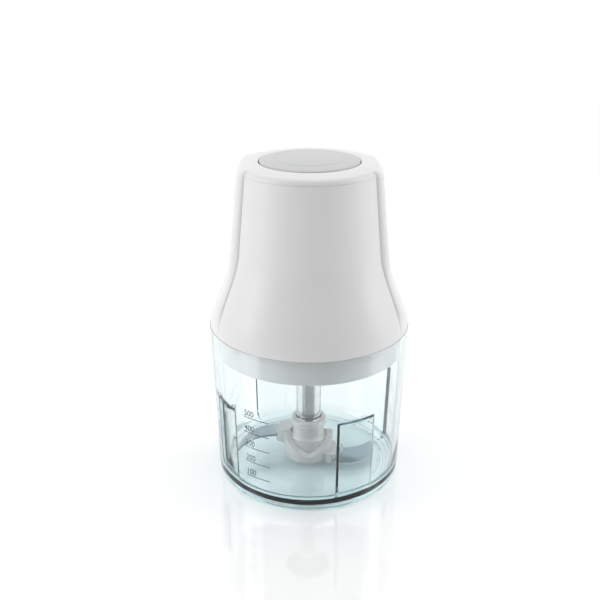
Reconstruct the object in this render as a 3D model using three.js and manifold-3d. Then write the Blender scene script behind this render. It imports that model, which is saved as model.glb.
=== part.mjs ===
// A press-top mini food chopper: a clear bowl on a flat foot, a blade unit that turns on the bowl's steel
// spindle, and a motor unit that sits on the bowl's rim and is switched by pressing its top.
// Millimetres, +Z up. The origin is the centre of the bowl's foot, and the motor unit's front faces -Y.

import * as THREE from "three";
import { mergeVertices } from "three/addons/utils/BufferGeometryUtils.js";
import Module from "manifold-3d";

const wasm = await Module();
wasm.setup();

// ---------------------------------------------------------------- driving dimensions

const GAP = 0.3; // between pieces that touch or fit into each other

const RIM_RADIUS = 60;
const BASE_RADIUS = 57;
const BOWL_HEIGHT = 100;
const BOWL_WALL = 2.4;
const FLOOR_TOP = 5.5;
const FOOT_INNER = 48.5;
const FOOT_OUTER = 53.8;
const FOOT_RECESS = 1.2;
const SOCKET_BOTTOM = 2.6; // of the spindle's socket in the floor
const FLOOR_FILLET = 7;
const RIB_COUNT = 4;
const RIB_FIRST_ANGLE = 28.4; // degrees from the front, towards +X
const RIB_SPAN = 25; // degrees
const RIB_HEIGHT = 59;
const RIB_DEPTH = 1.8;
const RIB_EDGE_SHARE = 0.076; // of the span that each sloping edge takes up

const SPINDLE_RADIUS = 4;
const SPINDLE_TOP = 66;

const HUB_RADIUS = 16;
const HUB_TOP = 20.5;
const COLLAR_RADIUS = 11;
const COLLAR_TOP = 33;
const COLUMN_RADIUS = 7.7;
const DRIVE_HEX_RADIUS = 6.6;
const COLUMN_TOP = 79;
const DRIVE_TOP = 89;

const BLADE_THICKNESS = 1.4;
const BLADE_REACH = 48;
const BLADE_SWEEP = 44; // degrees the tip lies ahead of the tang
const BLADE_ROOT = 9;
const LOWER_BLADE_Z = 8.6;
const LOWER_BLADE_ANGLE = -20;
const UPPER_BLADE_Z = 17.6;
const UPPER_BLADE_ANGLE = 160;

const SKIRT_RADIUS = 56;
const SKIRT_BOTTOM = 84;
const PLATE_THICKNESS = 3.5;
const SHELL_WALL = 2.4;
const SHELL_BOTTOM = BOWL_HEIGHT + 0.4;
const COVER_TOP = 192.9;
const DECK_BOTTOM = COVER_TOP + GAP;
const BUTTON_OPENING = 29.2;

const CORD_GLAND_Z = 146;
const VENT_Z = 171;
const BASE_SCREW_CIRCLE = 45;

const GEAR_MODULE = 1;
const SUN_TEETH = 12;
const PLANET_TEETH = 18;
const RING_TEETH = SUN_TEETH + 2 * PLANET_TEETH;
const PLANET_CIRCLE = (GEAR_MODULE * (SUN_TEETH + PLANET_TEETH)) / 2;
const PLANET_ANGLES = [90, 210, 330];
const GEAR_BOTTOM = 105;
const GEAR_TOP = 112;

const MOTOR_SHAFT_RADIUS = 2.5;
const STATOR_BOTTOM = 139;
const STATOR_TOP = 161;
const ARMATURE_RADIUS = 15;

// ---------------------------------------------------------------- colours and finishes

const FINISHES = {
  whitePlastic: { color: 0xe6e8e6, roughness: 0.32, metalness: 0 },
  greyPlastic: { color: 0xc9cac9, roughness: 0.4, metalness: 0 },
  clearPlastic: { color: 0xd3e2e6, roughness: 0.05, metalness: 0, transparent: true, opacity: 0.35 },
  frostedPlastic: { color: 0xd9dcdb, roughness: 0.35, metalness: 0 },
  bladeSteel: { color: 0xb9c0c6, roughness: 0.18, metalness: 1 },
  pinSteel: { color: 0xa9adb0, roughness: 0.25, metalness: 1 },
  rubber: { color: 0x3a3d40, roughness: 0.8, metalness: 0 },
  gearNylon: { color: 0xe9e3cf, roughness: 0.5, metalness: 0 },
  blackPlastic: { color: 0x24272a, roughness: 0.5, metalness: 0 },
  lamination: { color: 0x777b80, roughness: 0.45, metalness: 1 },
  copper: { color: 0xb5642f, roughness: 0.35, metalness: 1 },
  bronze: { color: 0xb08d57, roughness: 0.4, metalness: 1 },
  carbon: { color: 0x2a2a2b, roughness: 0.7, metalness: 0 },
  circuitGreen: { color: 0x2f6b4a, roughness: 0.55, metalness: 0 },
};
const material = Object.fromEntries(
  Object.entries(FINISHES).map(([name, finish]) => [name, new THREE.MeshStandardMaterial(finish)])
);

const object = new THREE.Group();

function addMesh(name, geometry, finish) {
  const mesh = new THREE.Mesh(geometry, material[finish]);
  mesh.name = name;
  object.add(mesh);
}

// ---------------------------------------------------------------- geometry helpers

const radians = THREE.MathUtils.degToRad;
const smooth = (t) => THREE.MathUtils.smoothstep(t, 0, 1);
const mix = THREE.MathUtils.lerp;

function weld(geometry) {
  const bare = geometry.index ? geometry.toNonIndexed() : geometry.clone();
  bare.deleteAttribute("normal");
  bare.deleteAttribute("uv");
  return mergeVertices(bare, 1e-3);
}

function toSolid(geometry) {
  const welded = weld(geometry);
  const mesh = new wasm.Mesh({
    numProp: 3,
    vertProperties: welded.attributes.position.array,
    triVerts: new Uint32Array(welded.index.array),
  });
  return new wasm.Manifold(mesh);
}

function toGeometry(solid) {
  const { vertProperties, triVerts, numProp } = solid.getMesh();
  const positions = new Float32Array((vertProperties.length / numProp) * 3);
  for (let i = 0; i < positions.length / 3; i++)
    positions.set(vertProperties.subarray(i * numProp, i * numProp + 3), i * 3);
  return new THREE.BufferGeometry()
    .setAttribute("position", new THREE.BufferAttribute(positions, 3))
    .setIndex(new THREE.BufferAttribute(triVerts, 1));
}

const cutAway = (geometry, ...tools) =>
  toGeometry(tools.reduce((solid, tool) => solid.subtract(toSolid(tool)), toSolid(geometry)));
const join = (...parts) => toGeometry(parts.map(toSolid).reduce((solid, part) => solid.add(part)));

// A profile of [radius, z] points turned about the Z axis. It runs up the outside and down the inside.
function turned(profile, segments = 32) {
  const points = profile.map(([radius, z]) => new THREE.Vector2(radius, z));
  return new THREE.LatheGeometry(points, segments).rotateX(Math.PI / 2);
}

function closedProfile(points) {
  return [...points, points[0]];
}

// A ring of rectangular section.
function ring(inner, outer, bottom, top, segments = 32) {
  return turned(closedProfile([[inner, bottom], [outer, bottom], [outer, top], [inner, top]]), segments);
}

function disc(radius, bottom, top, segments = 32) {
  return turned([[0, bottom], [radius, bottom], [radius, top], [0, top]], segments);
}

function block(sizeX, sizeY, sizeZ, x, y, z) {
  return new THREE.BoxGeometry(sizeX, sizeY, sizeZ).translate(x, y, z);
}

// A flat outline raised from one height to another.
function raised(shape, bottom, top) {
  return new THREE.ExtrudeGeometry(shape, { depth: top - bottom, bevelEnabled: false, curveSegments: 10 })
    .translate(0, 0, bottom);
}

function polygonShape(points) {
  return new THREE.Shape(points.map(([x, y]) => new THREE.Vector2(x, y)));
}

// A closed solid from a grid of sections: section(i) gives the closed loop of points of station i. A ring
// joins its last station to its first, and a slab closes its two end stations with flat caps.
function lofted(section, stations, isRing) {
  const loops = Array.from({ length: stations }, (_, i) => section(i));
  const size = loops[0].length;
  const index = [];
  const last = isRing ? stations : stations - 1;
  for (let i = 0; i < last; i++)
    for (let j = 0; j < size; j++) {
      const [a, b] = [i * size + j, i * size + ((j + 1) % size)];
      const [c, d] = [((i + 1) % stations) * size + j, ((i + 1) % stations) * size + ((j + 1) % size)];
      index.push(a, b, d, a, d, c);
    }
  if (!isRing) {
    const half = size / 2; // the loop runs along one side and back along the other
    for (const [base, flip] of [[0, true], [(stations - 1) * size, false]])
      for (let j = 0; j < half - 1; j++) {
        const quad = [base + j, base + j + 1, base + size - 2 - j, base + size - 1 - j];
        const [a, b, c, d] = flip ? quad.reverse() : quad;
        index.push(a, b, c, a, c, d);
      }
  }
  const geometry = new THREE.BufferGeometry();
  geometry.setAttribute("position", new THREE.Float32BufferAttribute(loops.flat(2), 3));
  geometry.setIndex(index);
  return toSolid(geometry).volume() < 0 ? flipped(geometry) : geometry;
}

function flipped(geometry) {
  const order = geometry.index.array;
  for (let i = 0; i < order.length; i += 3) [order[i + 1], order[i + 2]] = [order[i + 2], order[i + 1]];
  return geometry;
}

// ---------------------------------------------------------------- the outside of the motor unit

const PROFILE_TOP = 195;
const COVER_TOP_RADIUS = 41.9;
const COVER_TAPER = 0.079; // of radius for each millimetre down
const COVER_FLARE = 10.5;
const FLARE_START = 148;
const FLARE_END = 102;
const BAND_TOP_HALF_WIDTH = 41.3;
const BAND_TAPER = 0.104;
const BAND_FLARE = 0.375;
const KINK_Z = 134;
const ROUND_Z = 112;
const BAND_BLEND = 16; // height over which the round rim turns into the band's slab shape
const CREASE_TOP_DEPTH = 22;
const CREASE_BOTTOM_DEPTH = 28;
const CREASE_BEND = 146; // height below which the creases spread

// Radius of the front and rear covers, a bell that swells to the bowl's rim.
function coverRadius(z) {
  const flare = COVER_FLARE * smooth((FLARE_START - z) / (FLARE_START - FLARE_END));
  return COVER_TOP_RADIUS + COVER_TAPER * (PROFILE_TOP - z) + flare;
}

// Half the width across the side band: straight, then a kink, a straight flare and a round into the rim.
function bandHalfWidth(z) {
  const straight = (height) => BAND_TOP_HALF_WIDTH + BAND_TAPER * (PROFILE_TOP - height);
  if (z >= KINK_Z) return straight(z);
  const flared = (height) => straight(KINK_Z) + BAND_FLARE * (KINK_Z - height);
  if (z >= ROUND_Z) return flared(z);
  const t = Math.min(1, (ROUND_Z - z) / (ROUND_Z - SHELL_BOTTOM));
  return mix(flared(ROUND_Z), RIM_RADIUS - GAP, 1 - (1 - t) ** 2);
}

// Half the depth of the side band, out to the crease where a cover meets it.
const creaseDepth = (z) =>
  mix(CREASE_TOP_DEPTH, CREASE_BOTTOM_DEPTH, smooth((CREASE_BEND - z) / (CREASE_BEND - FLARE_END)));
const creaseAngle = (z) => Math.acos(creaseDepth(z) / coverRadius(z));

// A point of the band's outline: the front crease is t = 0, the side is t = 1 and the rear crease is t = 2.
function bandPoint(t, z) {
  if (t > 1) {
    const [x, y] = bandPoint(2 - t, z);
    return [x, -y];
  }
  const [radius, halfWidth, depth] = [coverRadius(z), bandHalfWidth(z), creaseDepth(z)];
  const cornerDepth = 8;
  const sideBulge = 0.8;
  const flatDepth = depth - cornerDepth;
  const creaseX = radius * Math.sin(creaseAngle(z));
  const turn = Math.min(1, t / 0.5) * (Math.PI / 2);
  const flatY = t < 0.5 ? flatDepth : flatDepth * (2 - 2 * t);
  const slab = t < 0.5
    ? [mix(creaseX, halfWidth - sideBulge, Math.sin(turn)), -flatDepth - cornerDepth * Math.cos(turn)]
    : [halfWidth - sideBulge * (flatY / flatDepth) ** 2, -flatY];
  const angle = mix(creaseAngle(z), Math.PI / 2, t);
  const roundRadius = mix(radius, halfWidth, smooth(t));
  const round = [roundRadius * Math.sin(angle), -roundRadius * Math.cos(angle)];
  const slabShare = smooth((z - FLARE_END) / BAND_BLEND);
  return [mix(round[0], slab[0], slabShare), mix(round[1], slab[1], slabShare)];
}

// A point of a cover's outline, from one crease at t = -1 to the other at t = 1. The edge angle is left off
// at each end.
function coverPoint(t, z, edgeAngle) {
  const angle = (creaseAngle(z) - edgeAngle) * t;
  return [coverRadius(z) * Math.sin(angle), -coverRadius(z) * Math.cos(angle)];
}

// The point itself for a turn of 1, and the one half a turn round for -1.
const turnedBy = (turn, [x, y]) => [turn * x, turn * y];

function inset([x, y], distance) {
  const scale = 1 - distance / Math.hypot(x, y);
  return [x * scale, y * scale];
}

const SEAM_ANGLE = GAP / COVER_TOP_RADIUS;
const SHELL_HEIGHTS = [SHELL_BOTTOM, 104, 108, 112, 117, 122, 128, KINK_Z, 141, 150, 162, 177, COVER_TOP];

// A shell wall: outline(t, z) for t from `from` to `to`, SHELL_WALL thick, between the given heights.
function shellWall(outline, from, to, steps, heights) {
  const across = Array.from({ length: steps + 1 }, (_, i) => mix(from, to, i / steps));
  const section = (i) => {
    const z = heights[i];
    const outside = across.map((t) => [...outline(t, z), z]);
    const inside = across.map((t) => [...inset(outline(t, z), SHELL_WALL), z]).reverse();
    return [...outside, ...inside];
  };
  return lofted(section, heights.length, false);
}

// ---------------------------------------------------------------- bowl and blade unit

function bowlGeometry() {
  const wallSlope = (RIM_RADIUS - BASE_RADIUS) / BOWL_HEIGHT;
  const innerRadius = (z) => BASE_RADIUS + wallSlope * z - BOWL_WALL;
  const filletTop = FLOOR_TOP + FLOOR_FILLET;
  const filletCentre = innerRadius(filletTop) - FLOOR_FILLET;
  const fillet = [0, 30, 60, 90].map((angle) => [
    filletCentre + FLOOR_FILLET * Math.cos(radians(angle)),
    filletTop - FLOOR_FILLET * Math.sin(radians(angle)),
  ]);
  const edgeTop = 3.4;
  const profile = [
    [0, FOOT_RECESS], [FOOT_INNER - 1.5, FOOT_RECESS], [FOOT_INNER, 0], [FOOT_OUTER, 0],
    [BASE_RADIUS - 0.8, 1.2], [BASE_RADIUS + wallSlope * edgeTop, edgeTop],
    [RIM_RADIUS, BOWL_HEIGHT], [RIM_RADIUS - BOWL_WALL, BOWL_HEIGHT], ...fillet,
    [SPINDLE_RADIUS + GAP, FLOOR_TOP], [SPINDLE_RADIUS + GAP, SOCKET_BOTTOM], [0, SOCKET_BOTTOM],
  ];
  const ribs = Array.from({ length: RIB_COUNT }, (_, i) => {
    const middle = RIB_FIRST_ANGLE + (i * 360) / RIB_COUNT;
    return wallRib(innerRadius, middle - RIB_SPAN / 2, middle + RIB_SPAN / 2);
  });
  return join(turned(profile, 48), ...ribs);
}

// One wide rib on the inside of the bowl, between two angles from the front. Its top and its two upright
// edges slope back to the wall.
function wallRib(innerRadius, from, to) {
  const slopeAngle = RIB_SPAN * RIB_EDGE_SHARE;
  const angles = [from, from + slopeAngle, (from + to) / 2, to - slopeAngle, to];
  const section = (i) => {
    const angle = radians(angles[i]);
    const at = (radius, z) => [radius * Math.sin(angle), -radius * Math.cos(angle), z];
    const [low, slopeStart, high] = [FLOOR_TOP - 1.5, RIB_HEIGHT - RIB_DEPTH, RIB_HEIGHT];
    const buried = 1.2;
    const isEnd = i === 0 || i === angles.length - 1;
    const depth = isEnd ? -0.05 : RIB_DEPTH;
    return [
      at(innerRadius(low) - depth, low), at(innerRadius(slopeStart) - depth, slopeStart),
      at(innerRadius(high), high),
      at(innerRadius(high) + buried, high), at(innerRadius(slopeStart) + buried, slopeStart),
      at(innerRadius(low) + buried, low),
    ];
  };
  return lofted(section, angles.length, false);
}

function hexagonShape(radius) {
  return polygonShape(Array.from({ length: 6 }, (_, i) => [
    radius * Math.cos(radians(60 * i)), radius * Math.sin(radians(60 * i)),
  ]));
}

// A sickle blade lying along +X: a straight tang in the hub, then a convex cutting edge that sweeps round
// to the tip.
function bladeShape(clearance = 0) {
  const halfTang = 6.5 + clearance;
  const shape = new THREE.Shape();
  const tip = [BLADE_REACH * Math.cos(radians(BLADE_SWEEP)), BLADE_REACH * Math.sin(radians(BLADE_SWEEP))];
  shape.moveTo(BLADE_ROOT - clearance, -halfTang);
  shape.lineTo(HUB_RADIUS + 2, -halfTang - 2);
  shape.bezierCurveTo(34, -10, 46, 8, ...tip);
  shape.bezierCurveTo(36, 18, 28, 10, HUB_RADIUS + 2, halfTang);
  shape.lineTo(BLADE_ROOT - clearance, halfTang);
  shape.closePath();
  return shape;
}

function bladeGeometry(bottom, angle, clearance = 0) {
  return raised(bladeShape(clearance), bottom - clearance, bottom + BLADE_THICKNESS + clearance)
    .rotateZ(radians(angle));
}

function bladeHubGeometry() {
  const bore = SPINDLE_RADIUS + GAP;
  const bushBore = 6.8;
  const body = turned([
    [0, SPINDLE_TOP + 3], [bore, SPINDLE_TOP + 3], [bore, 13], [bushBore, 13], [bushBore, FLOOR_TOP + 0.6],
    [HUB_RADIUS - 1.4, FLOOR_TOP + 0.6], [HUB_RADIUS, 7.4],
    [HUB_RADIUS, HUB_TOP - 1.4], [HUB_RADIUS - 1.4, HUB_TOP],
    [COLLAR_RADIUS, HUB_TOP], [COLLAR_RADIUS, COLLAR_TOP], [COLUMN_RADIUS, COLLAR_TOP],
    [COLUMN_RADIUS, COLUMN_TOP], [0, COLUMN_TOP],
  ], 32);
  const driveHex = raised(hexagonShape(DRIVE_HEX_RADIUS), COLUMN_TOP - 1, DRIVE_TOP);
  const hub = join(body, driveHex);
  return cutAway(
    hub,
    bladeGeometry(LOWER_BLADE_Z, LOWER_BLADE_ANGLE, GAP),
    bladeGeometry(UPPER_BLADE_Z, UPPER_BLADE_ANGLE, GAP)
  );
}

addMesh("bowl", bowlGeometry(), "clearPlastic");
addMesh("bowl_spindle", turned([
  [0, SOCKET_BOTTOM + GAP], [SPINDLE_RADIUS, SOCKET_BOTTOM + GAP],
  [SPINDLE_RADIUS, SPINDLE_TOP - 2], [SPINDLE_RADIUS - 2, SPINDLE_TOP],
  [0, SPINDLE_TOP],
], 24), "pinSteel");
addMesh("blade_hub", bladeHubGeometry(), "frostedPlastic");
addMesh("hub_bush", ring(SPINDLE_RADIUS + GAP, 6.5, FLOOR_TOP + 0.8, 12.7, 24), "bronze");
addMesh("lower_blade", bladeGeometry(LOWER_BLADE_Z, LOWER_BLADE_ANGLE), "bladeSteel");
addMesh("upper_blade", bladeGeometry(UPPER_BLADE_Z, UPPER_BLADE_ANGLE), "bladeSteel");

// ---------------------------------------------------------------- casing of the motor unit

const PLATE_TOP = SKIRT_BOTTOM + PLATE_THICKNESS;
const COUPLING_RADIUS = 12;
const PLATE_HOLE = 14.4;
const GEARBOX_RADIUS = 33;
const GEARBOX_BOTTOM = 99;
const GEARBOX_TOP = 115;
const screwAngles = [38, 142, 218, 322]; // degrees from the front
const screwCentres = screwAngles.map((angle) => [
  BASE_SCREW_CIRCLE * Math.sin(radians(angle)), -BASE_SCREW_CIRCLE * Math.cos(radians(angle)),
]);

function basePlateGeometry() {
  const plate = turned(closedProfile([
    [PLATE_HOLE, SKIRT_BOTTOM], [SKIRT_RADIUS - 1, SKIRT_BOTTOM], [SKIRT_RADIUS, SKIRT_BOTTOM + 1],
    [SKIRT_RADIUS, 104], [SKIRT_RADIUS - 2.4, 104], [SKIRT_RADIUS - 2.4, PLATE_TOP],
    [GEARBOX_RADIUS, PLATE_TOP],
    [GEARBOX_RADIUS, GEARBOX_BOTTOM - GAP], [GEARBOX_RADIUS - 2.5, GEARBOX_BOTTOM - GAP],
    [GEARBOX_RADIUS - 2.5, PLATE_TOP], [PLATE_HOLE, PLATE_TOP],
  ]), 40);
  const holes = screwCentres.flatMap(([x, y]) => [
    disc(2, SKIRT_BOTTOM - 1, PLATE_TOP + 1, 12).translate(x, y, 0),
    disc(3.7, SKIRT_BOTTOM - 1, SKIRT_BOTTOM + 2, 16).translate(x, y, 0),
  ]);
  return cutAway(plate, ...holes);
}

// A screw post moulded on the inside of a cover, with the web that ties it to the wall.
function screwPosts(centres) {
  return centres.map(([x, y]) => {
    const angle = Math.atan2(y, x);
    const [low, high, pilotTop] = [PLATE_TOP + GAP, 112, 106];
    const post = turned([
      [0, pilotTop], [1.9, pilotTop], [1.9, low], [4, low], [4, high], [0, high],
    ], 12).translate(x, y, 0);
    const web = block(10.5, 3, high - 105.5, BASE_SCREW_CIRCLE + 7.6, 0, (high + 105.5) / 2).rotateZ(angle);
    return join(post, web);
  });
}

function frontCoverGeometry() {
  const wall = shellWall((t, z) => coverPoint(t, z, SEAM_ANGLE), -1, 1, 12, SHELL_HEIGHTS);
  return join(wall, ...screwPosts(screwCentres.filter(([, y]) => y < 0)));
}

function rearCoverGeometry() {
  const outline = (t, z) => coverPoint(t, z, SEAM_ANGLE).map((v) => -v);
  const wall = join(
    shellWall(outline, -1, 1, 12, SHELL_HEIGHTS), ...screwPosts(screwCentres.filter(([, y]) => y > 0))
  );
  const vent = { width: 2.2, height: 17, pitch: 6 };
  const vents = [-2, -1, 0, 1, 2].map((i) =>
    block(vent.width, 5 * SHELL_WALL, vent.height, i * vent.pitch, coverRadius(VENT_Z), VENT_Z)
  );
  const glandHole = disc(GLAND_NECK + GAP, 0, 30, 20).rotateX(-Math.PI / 2).translate(0, 38, CORD_GLAND_Z);
  return cutAway(wall, glandHole, ...vents);
}

// The band runs up one side, over the top as a deck with the button's opening, and down the other side.
function housingBandGeometry() {
  const sideHeights = [...SHELL_HEIGHTS.slice(0, -1), DECK_BOTTOM + 0.6];
  const side = shellWall(bandPoint, 0, 2, 12, sideHeights);
  const otherSide = shellWall((t, z) => bandPoint(t, z).map((v) => -v), 0, 2, 12, sideHeights);
  const outline = deckOutline();
  const section = (i) => {
    const point = outline[i];
    const opening = inset(point, Math.hypot(...point) - BUTTON_OPENING);
    return [
      [...inset(point, SHELL_WALL), DECK_BOTTOM], [...point, DECK_BOTTOM], [...point, 194.6],
      [...inset(point, 0.9), 195.8], [...inset(point, 2.6), 196.3], [...opening, 197.3], [...opening, 195],
      [...inset(point, SHELL_WALL + 0.2), 194],
    ];
  };
  return join(lofted(section, outline.length, true), side, otherSide);
}

// The outline of the whole motor unit at the deck, once round from the front's left crease.
const DECK_STEPS = 8; // points on each cover and on each side of the band

function deckOutline() {
  const z = DECK_BOTTOM;
  const points = [];
  for (const turn of [1, -1]) {
    for (let i = 0; i < DECK_STEPS; i++)
      points.push(turnedBy(turn, coverPoint((2 * i) / DECK_STEPS - 1, z, 0)));
    for (let i = 0; i < DECK_STEPS; i++) points.push(turnedBy(turn, bandPoint((2 * i) / DECK_STEPS, z)));
  }
  return points;
}

const GLAND_NECK = 5;

function cordGlandGeometry() {
  const hole = 3.6;
  const wall = coverRadius(CORD_GLAND_Z);
  return turned(closedProfile([
    [hole, 0], [GLAND_NECK + 2, 0], [GLAND_NECK + 2, 2.4], [GLAND_NECK, 2.4], [GLAND_NECK, 9.4],
    [GLAND_NECK + 2, 9.4], [GLAND_NECK + 1.2, 11.6], [hole, 11.6],
  ]), 20).rotateX(-Math.PI / 2).translate(0, wall - 7.2, CORD_GLAND_Z);
}

function screwGeometry(x, y) {
  const [head, shankTop] = [SKIRT_BOTTOM + 0.4, 104];
  return turned([
    [0, head], [3.2, head], [3.2, head + 1.3], [1.6, head + 1.3], [1.6, shankTop - 1.6], [0, shankTop],
  ], 12).translate(x, y, 0);
}

addMesh("base_plate", basePlateGeometry(), "greyPlastic");
const sealGeometry = ring(COUPLING_RADIUS + GAP, PLATE_HOLE - GAP, SKIRT_BOTTOM + 0.2, PLATE_TOP - 0.2, 24);
addMesh("shaft_seal", sealGeometry, "rubber");
addMesh("front_cover", frontCoverGeometry(), "whitePlastic");
addMesh("rear_cover", rearCoverGeometry(), "whitePlastic");
addMesh("housing_band", housingBandGeometry(), "whitePlastic");
addMesh("cord_gland", cordGlandGeometry(), "rubber");
screwCentres.forEach(([x, y], i) => addMesh(`base_screw_${i + 1}`, screwGeometry(x, y), "pinSteel"));

// ---------------------------------------------------------------- push button and switch

const BUTTON_SKIRT = BUTTON_OPENING - 0.6;
const SWITCH_PLATE_TOP = 180;
const PLUNGER_X = 23;
const LEVER_PIVOT = new THREE.Vector3(9.5, 0, 187.3);
const LEVER_REST = 13; // degrees

function pushButtonGeometry() {
  const domeRadius = 150;
  const domeTop = 200;
  const dome = [24, 16, 8].map((r) => [r, domeTop - (domeRadius - Math.sqrt(domeRadius ** 2 - r ** 2))]);
  const cap = turned([
    [0, 182.5], [2.6, 182.5], [2.6, 195.6], [BUTTON_SKIRT - 2, 195.2], [BUTTON_SKIRT - 2, 192.2],
    [BUTTON_SKIRT + 2, 192.2], [BUTTON_SKIRT + 2, 193.6], [BUTTON_SKIRT, 193.6], [BUTTON_SKIRT, 196.6],
    [BUTTON_SKIRT - 1.4, 197.7], ...dome, [0, domeTop],
  ], 32);
  const plunger = block(3, 3, 5.4, PLUNGER_X, 0, 194.1);
  return join(cap, plunger);
}

class Helix extends THREE.Curve {
  constructor(radius, bottom, top, turns) {
    super();
    Object.assign(this, { radius, bottom, top, turns });
  }
  getPoint(t, target = new THREE.Vector3()) {
    const angle = 2 * Math.PI * this.turns * t;
    return target.set(
      this.radius * Math.cos(angle), this.radius * Math.sin(angle), mix(this.bottom, this.top, t)
    );
  }
}

function springGeometry() {
  const wire = 0.55;
  const turns = 4.5;
  const section = polygonShape([0, 60, 120, 180, 240, 300].map((angle) => [
    wire * Math.cos(radians(angle)), wire * Math.sin(radians(angle)),
  ]));
  const path = new Helix(5, SWITCH_PLATE_TOP + 1, 194.6, turns);
  return new THREE.ExtrudeGeometry(section, { steps: 40, extrudePath: path, bevelEnabled: false });
}

function switchPlateGeometry() {
  const arms = block(72, 14, 2.4, 0, 0, SWITCH_PLATE_TOP - 1.2);
  const seat = disc(9, SWITCH_PLATE_TOP - 2.4, SWITCH_PLATE_TOP, 24);
  return cutAway(join(arms, seat), disc(3.2, SWITCH_PLATE_TOP - 4, SWITCH_PLATE_TOP + 1, 16));
}

function leverGeometry() {
  const [length, width, thickness] = [16.5, 4, 0.5];
  return block(length, width, thickness, length / 2, 0, 0)
    .rotateY(-radians(LEVER_REST))
    .translate(LEVER_PIVOT.x, LEVER_PIVOT.y, LEVER_PIVOT.z);
}

addMesh("push_button", pushButtonGeometry(), "greyPlastic");
addMesh("button_spring", springGeometry(), "pinSteel");
addMesh("switch_plate", switchPlateGeometry(), "greyPlastic");
addMesh("switch_body", block(19, 6.4, 6.2, 18.2, 0, SWITCH_PLATE_TOP + GAP + 3.1), "blackPlastic");
addMesh("switch_lever", leverGeometry(), "pinSteel");

// ---------------------------------------------------------------- planetary gearbox and drive coupling

const involute = (angle) => Math.tan(angle) - angle;

// The outline of a spur gear, whose flanks run straight between two points of the involute. A tooth points
// along +X. Width is a tooth's share of the pitch.
function gearPoints(teeth, addendum, dedendum, width) {
  const pitch = (GEAR_MODULE * teeth) / 2;
  const base = pitch * Math.cos(radians(20));
  const halfAngle = (radius) => {
    const pressure = Math.acos(Math.min(1, base / radius));
    return (Math.PI * width) / teeth + involute(radians(20)) - involute(pressure);
  };
  const flank = [pitch - dedendum, pitch + addendum];
  const outline = [];
  for (let i = 0; i < teeth; i++) {
    const middle = (2 * Math.PI * i) / teeth;
    const side = (sign) => (radius) => {
      const angle = middle + sign * halfAngle(radius);
      return [radius * Math.cos(angle), radius * Math.sin(angle)];
    };
    outline.push(...flank.map(side(-1)), ...flank.toReversed().map(side(1)));
  }
  return outline;
}

function gearGeometry(teeth, bottom, top, bore) {
  const outline = gearPoints(teeth, 0.85 * GEAR_MODULE, 1.15 * GEAR_MODULE, 0.45);
  const gear = raised(polygonShape(outline), bottom, top);
  return cutAway(gear, disc(bore, bottom - 1, top + 1, 20));
}

function ringGearGeometry() {
  const spaces = gearPoints(RING_TEETH, 1.15 * GEAR_MODULE, 0.85 * GEAR_MODULE, 0.55);
  const hole = raised(polygonShape(spaces), GEAR_BOTTOM - 2, GEAR_TOP + 2).rotateZ(Math.PI / RING_TEETH);
  return cutAway(disc(29.2, GEAR_BOTTOM - 0.5, GEAR_TOP + 0.5, 40), hole);
}

const planetCentres = PLANET_ANGLES.map((angle) => [
  PLANET_CIRCLE * Math.cos(radians(angle)), PLANET_CIRCLE * Math.sin(radians(angle)),
]);
const OUTPUT_SHAFT_RADIUS = 4;
const PLANET_PIN_RADIUS = 2;

function carrierGeometry() {
  const plate = turned([
    [0, 90.6], [OUTPUT_SHAFT_RADIUS, 90.6], [OUTPUT_SHAFT_RADIUS, 102], [20, 102], [20, GEAR_BOTTOM - 0.4],
    [0, GEAR_BOTTOM - 0.4],
  ], 32);
  const pins = planetCentres.map(([x, y]) =>
    disc(PLANET_PIN_RADIUS, GEAR_BOTTOM - 1.5, GEAR_TOP + 0.4, 14).translate(x, y, 0)
  );
  return join(plate, ...pins);
}

function couplingGeometry() {
  const [bottom, top] = [82.6, 96.4];
  const body = turned([[0, bottom], [COUPLING_RADIUS - 1, bottom], [COUPLING_RADIUS, bottom + 1],
    [COUPLING_RADIUS, 92], [8, top], [0, top]], 32);
  const socket = raised(hexagonShape(DRIVE_HEX_RADIUS + 0.6), bottom - 1, DRIVE_TOP + 0.6);
  return cutAway(body, socket, disc(OUTPUT_SHAFT_RADIUS + GAP, 90, top + 1, 24));
}

function gearboxHousingGeometry() {
  return turned(closedProfile([
    [7.6, GEARBOX_BOTTOM], [GEARBOX_RADIUS, GEARBOX_BOTTOM], [GEARBOX_RADIUS, GEARBOX_TOP],
    [GEARBOX_RADIUS - 3.4, GEARBOX_TOP], [GEARBOX_RADIUS - 3.4, 104], [22, 104], [22, 101.5], [7.6, 101.5],
  ]), 28);
}

addMesh("gearbox_housing", gearboxHousingGeometry(), "greyPlastic");
addMesh("gearbox_cover", ring(9, GEARBOX_RADIUS, GEARBOX_TOP + GAP, GEARBOX_TOP + 3, 28), "greyPlastic");
addMesh("output_bush", ring(OUTPUT_SHAFT_RADIUS + 0.1, 7.3, 97.6, 101.6, 24), "bronze");
addMesh("ring_gear", ringGearGeometry(), "gearNylon");
addMesh("planet_carrier", carrierGeometry(), "pinSteel");
planetCentres.forEach(([x, y], i) => {
  const gear = gearGeometry(PLANET_TEETH, GEAR_BOTTOM, GEAR_TOP, PLANET_PIN_RADIUS + 0.15)
    .rotateZ(radians(PLANET_ANGLES[i] + 180 + 180 / PLANET_TEETH))
    .translate(x, y, 0);
  addMesh(`planet_gear_${i + 1}`, gear, "gearNylon");
});
addMesh("output_coupling", couplingGeometry(), "blackPlastic");

// ---------------------------------------------------------------- motor

const SHAFT_FIT = MOTOR_SHAFT_RADIUS + 0.2;

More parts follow.
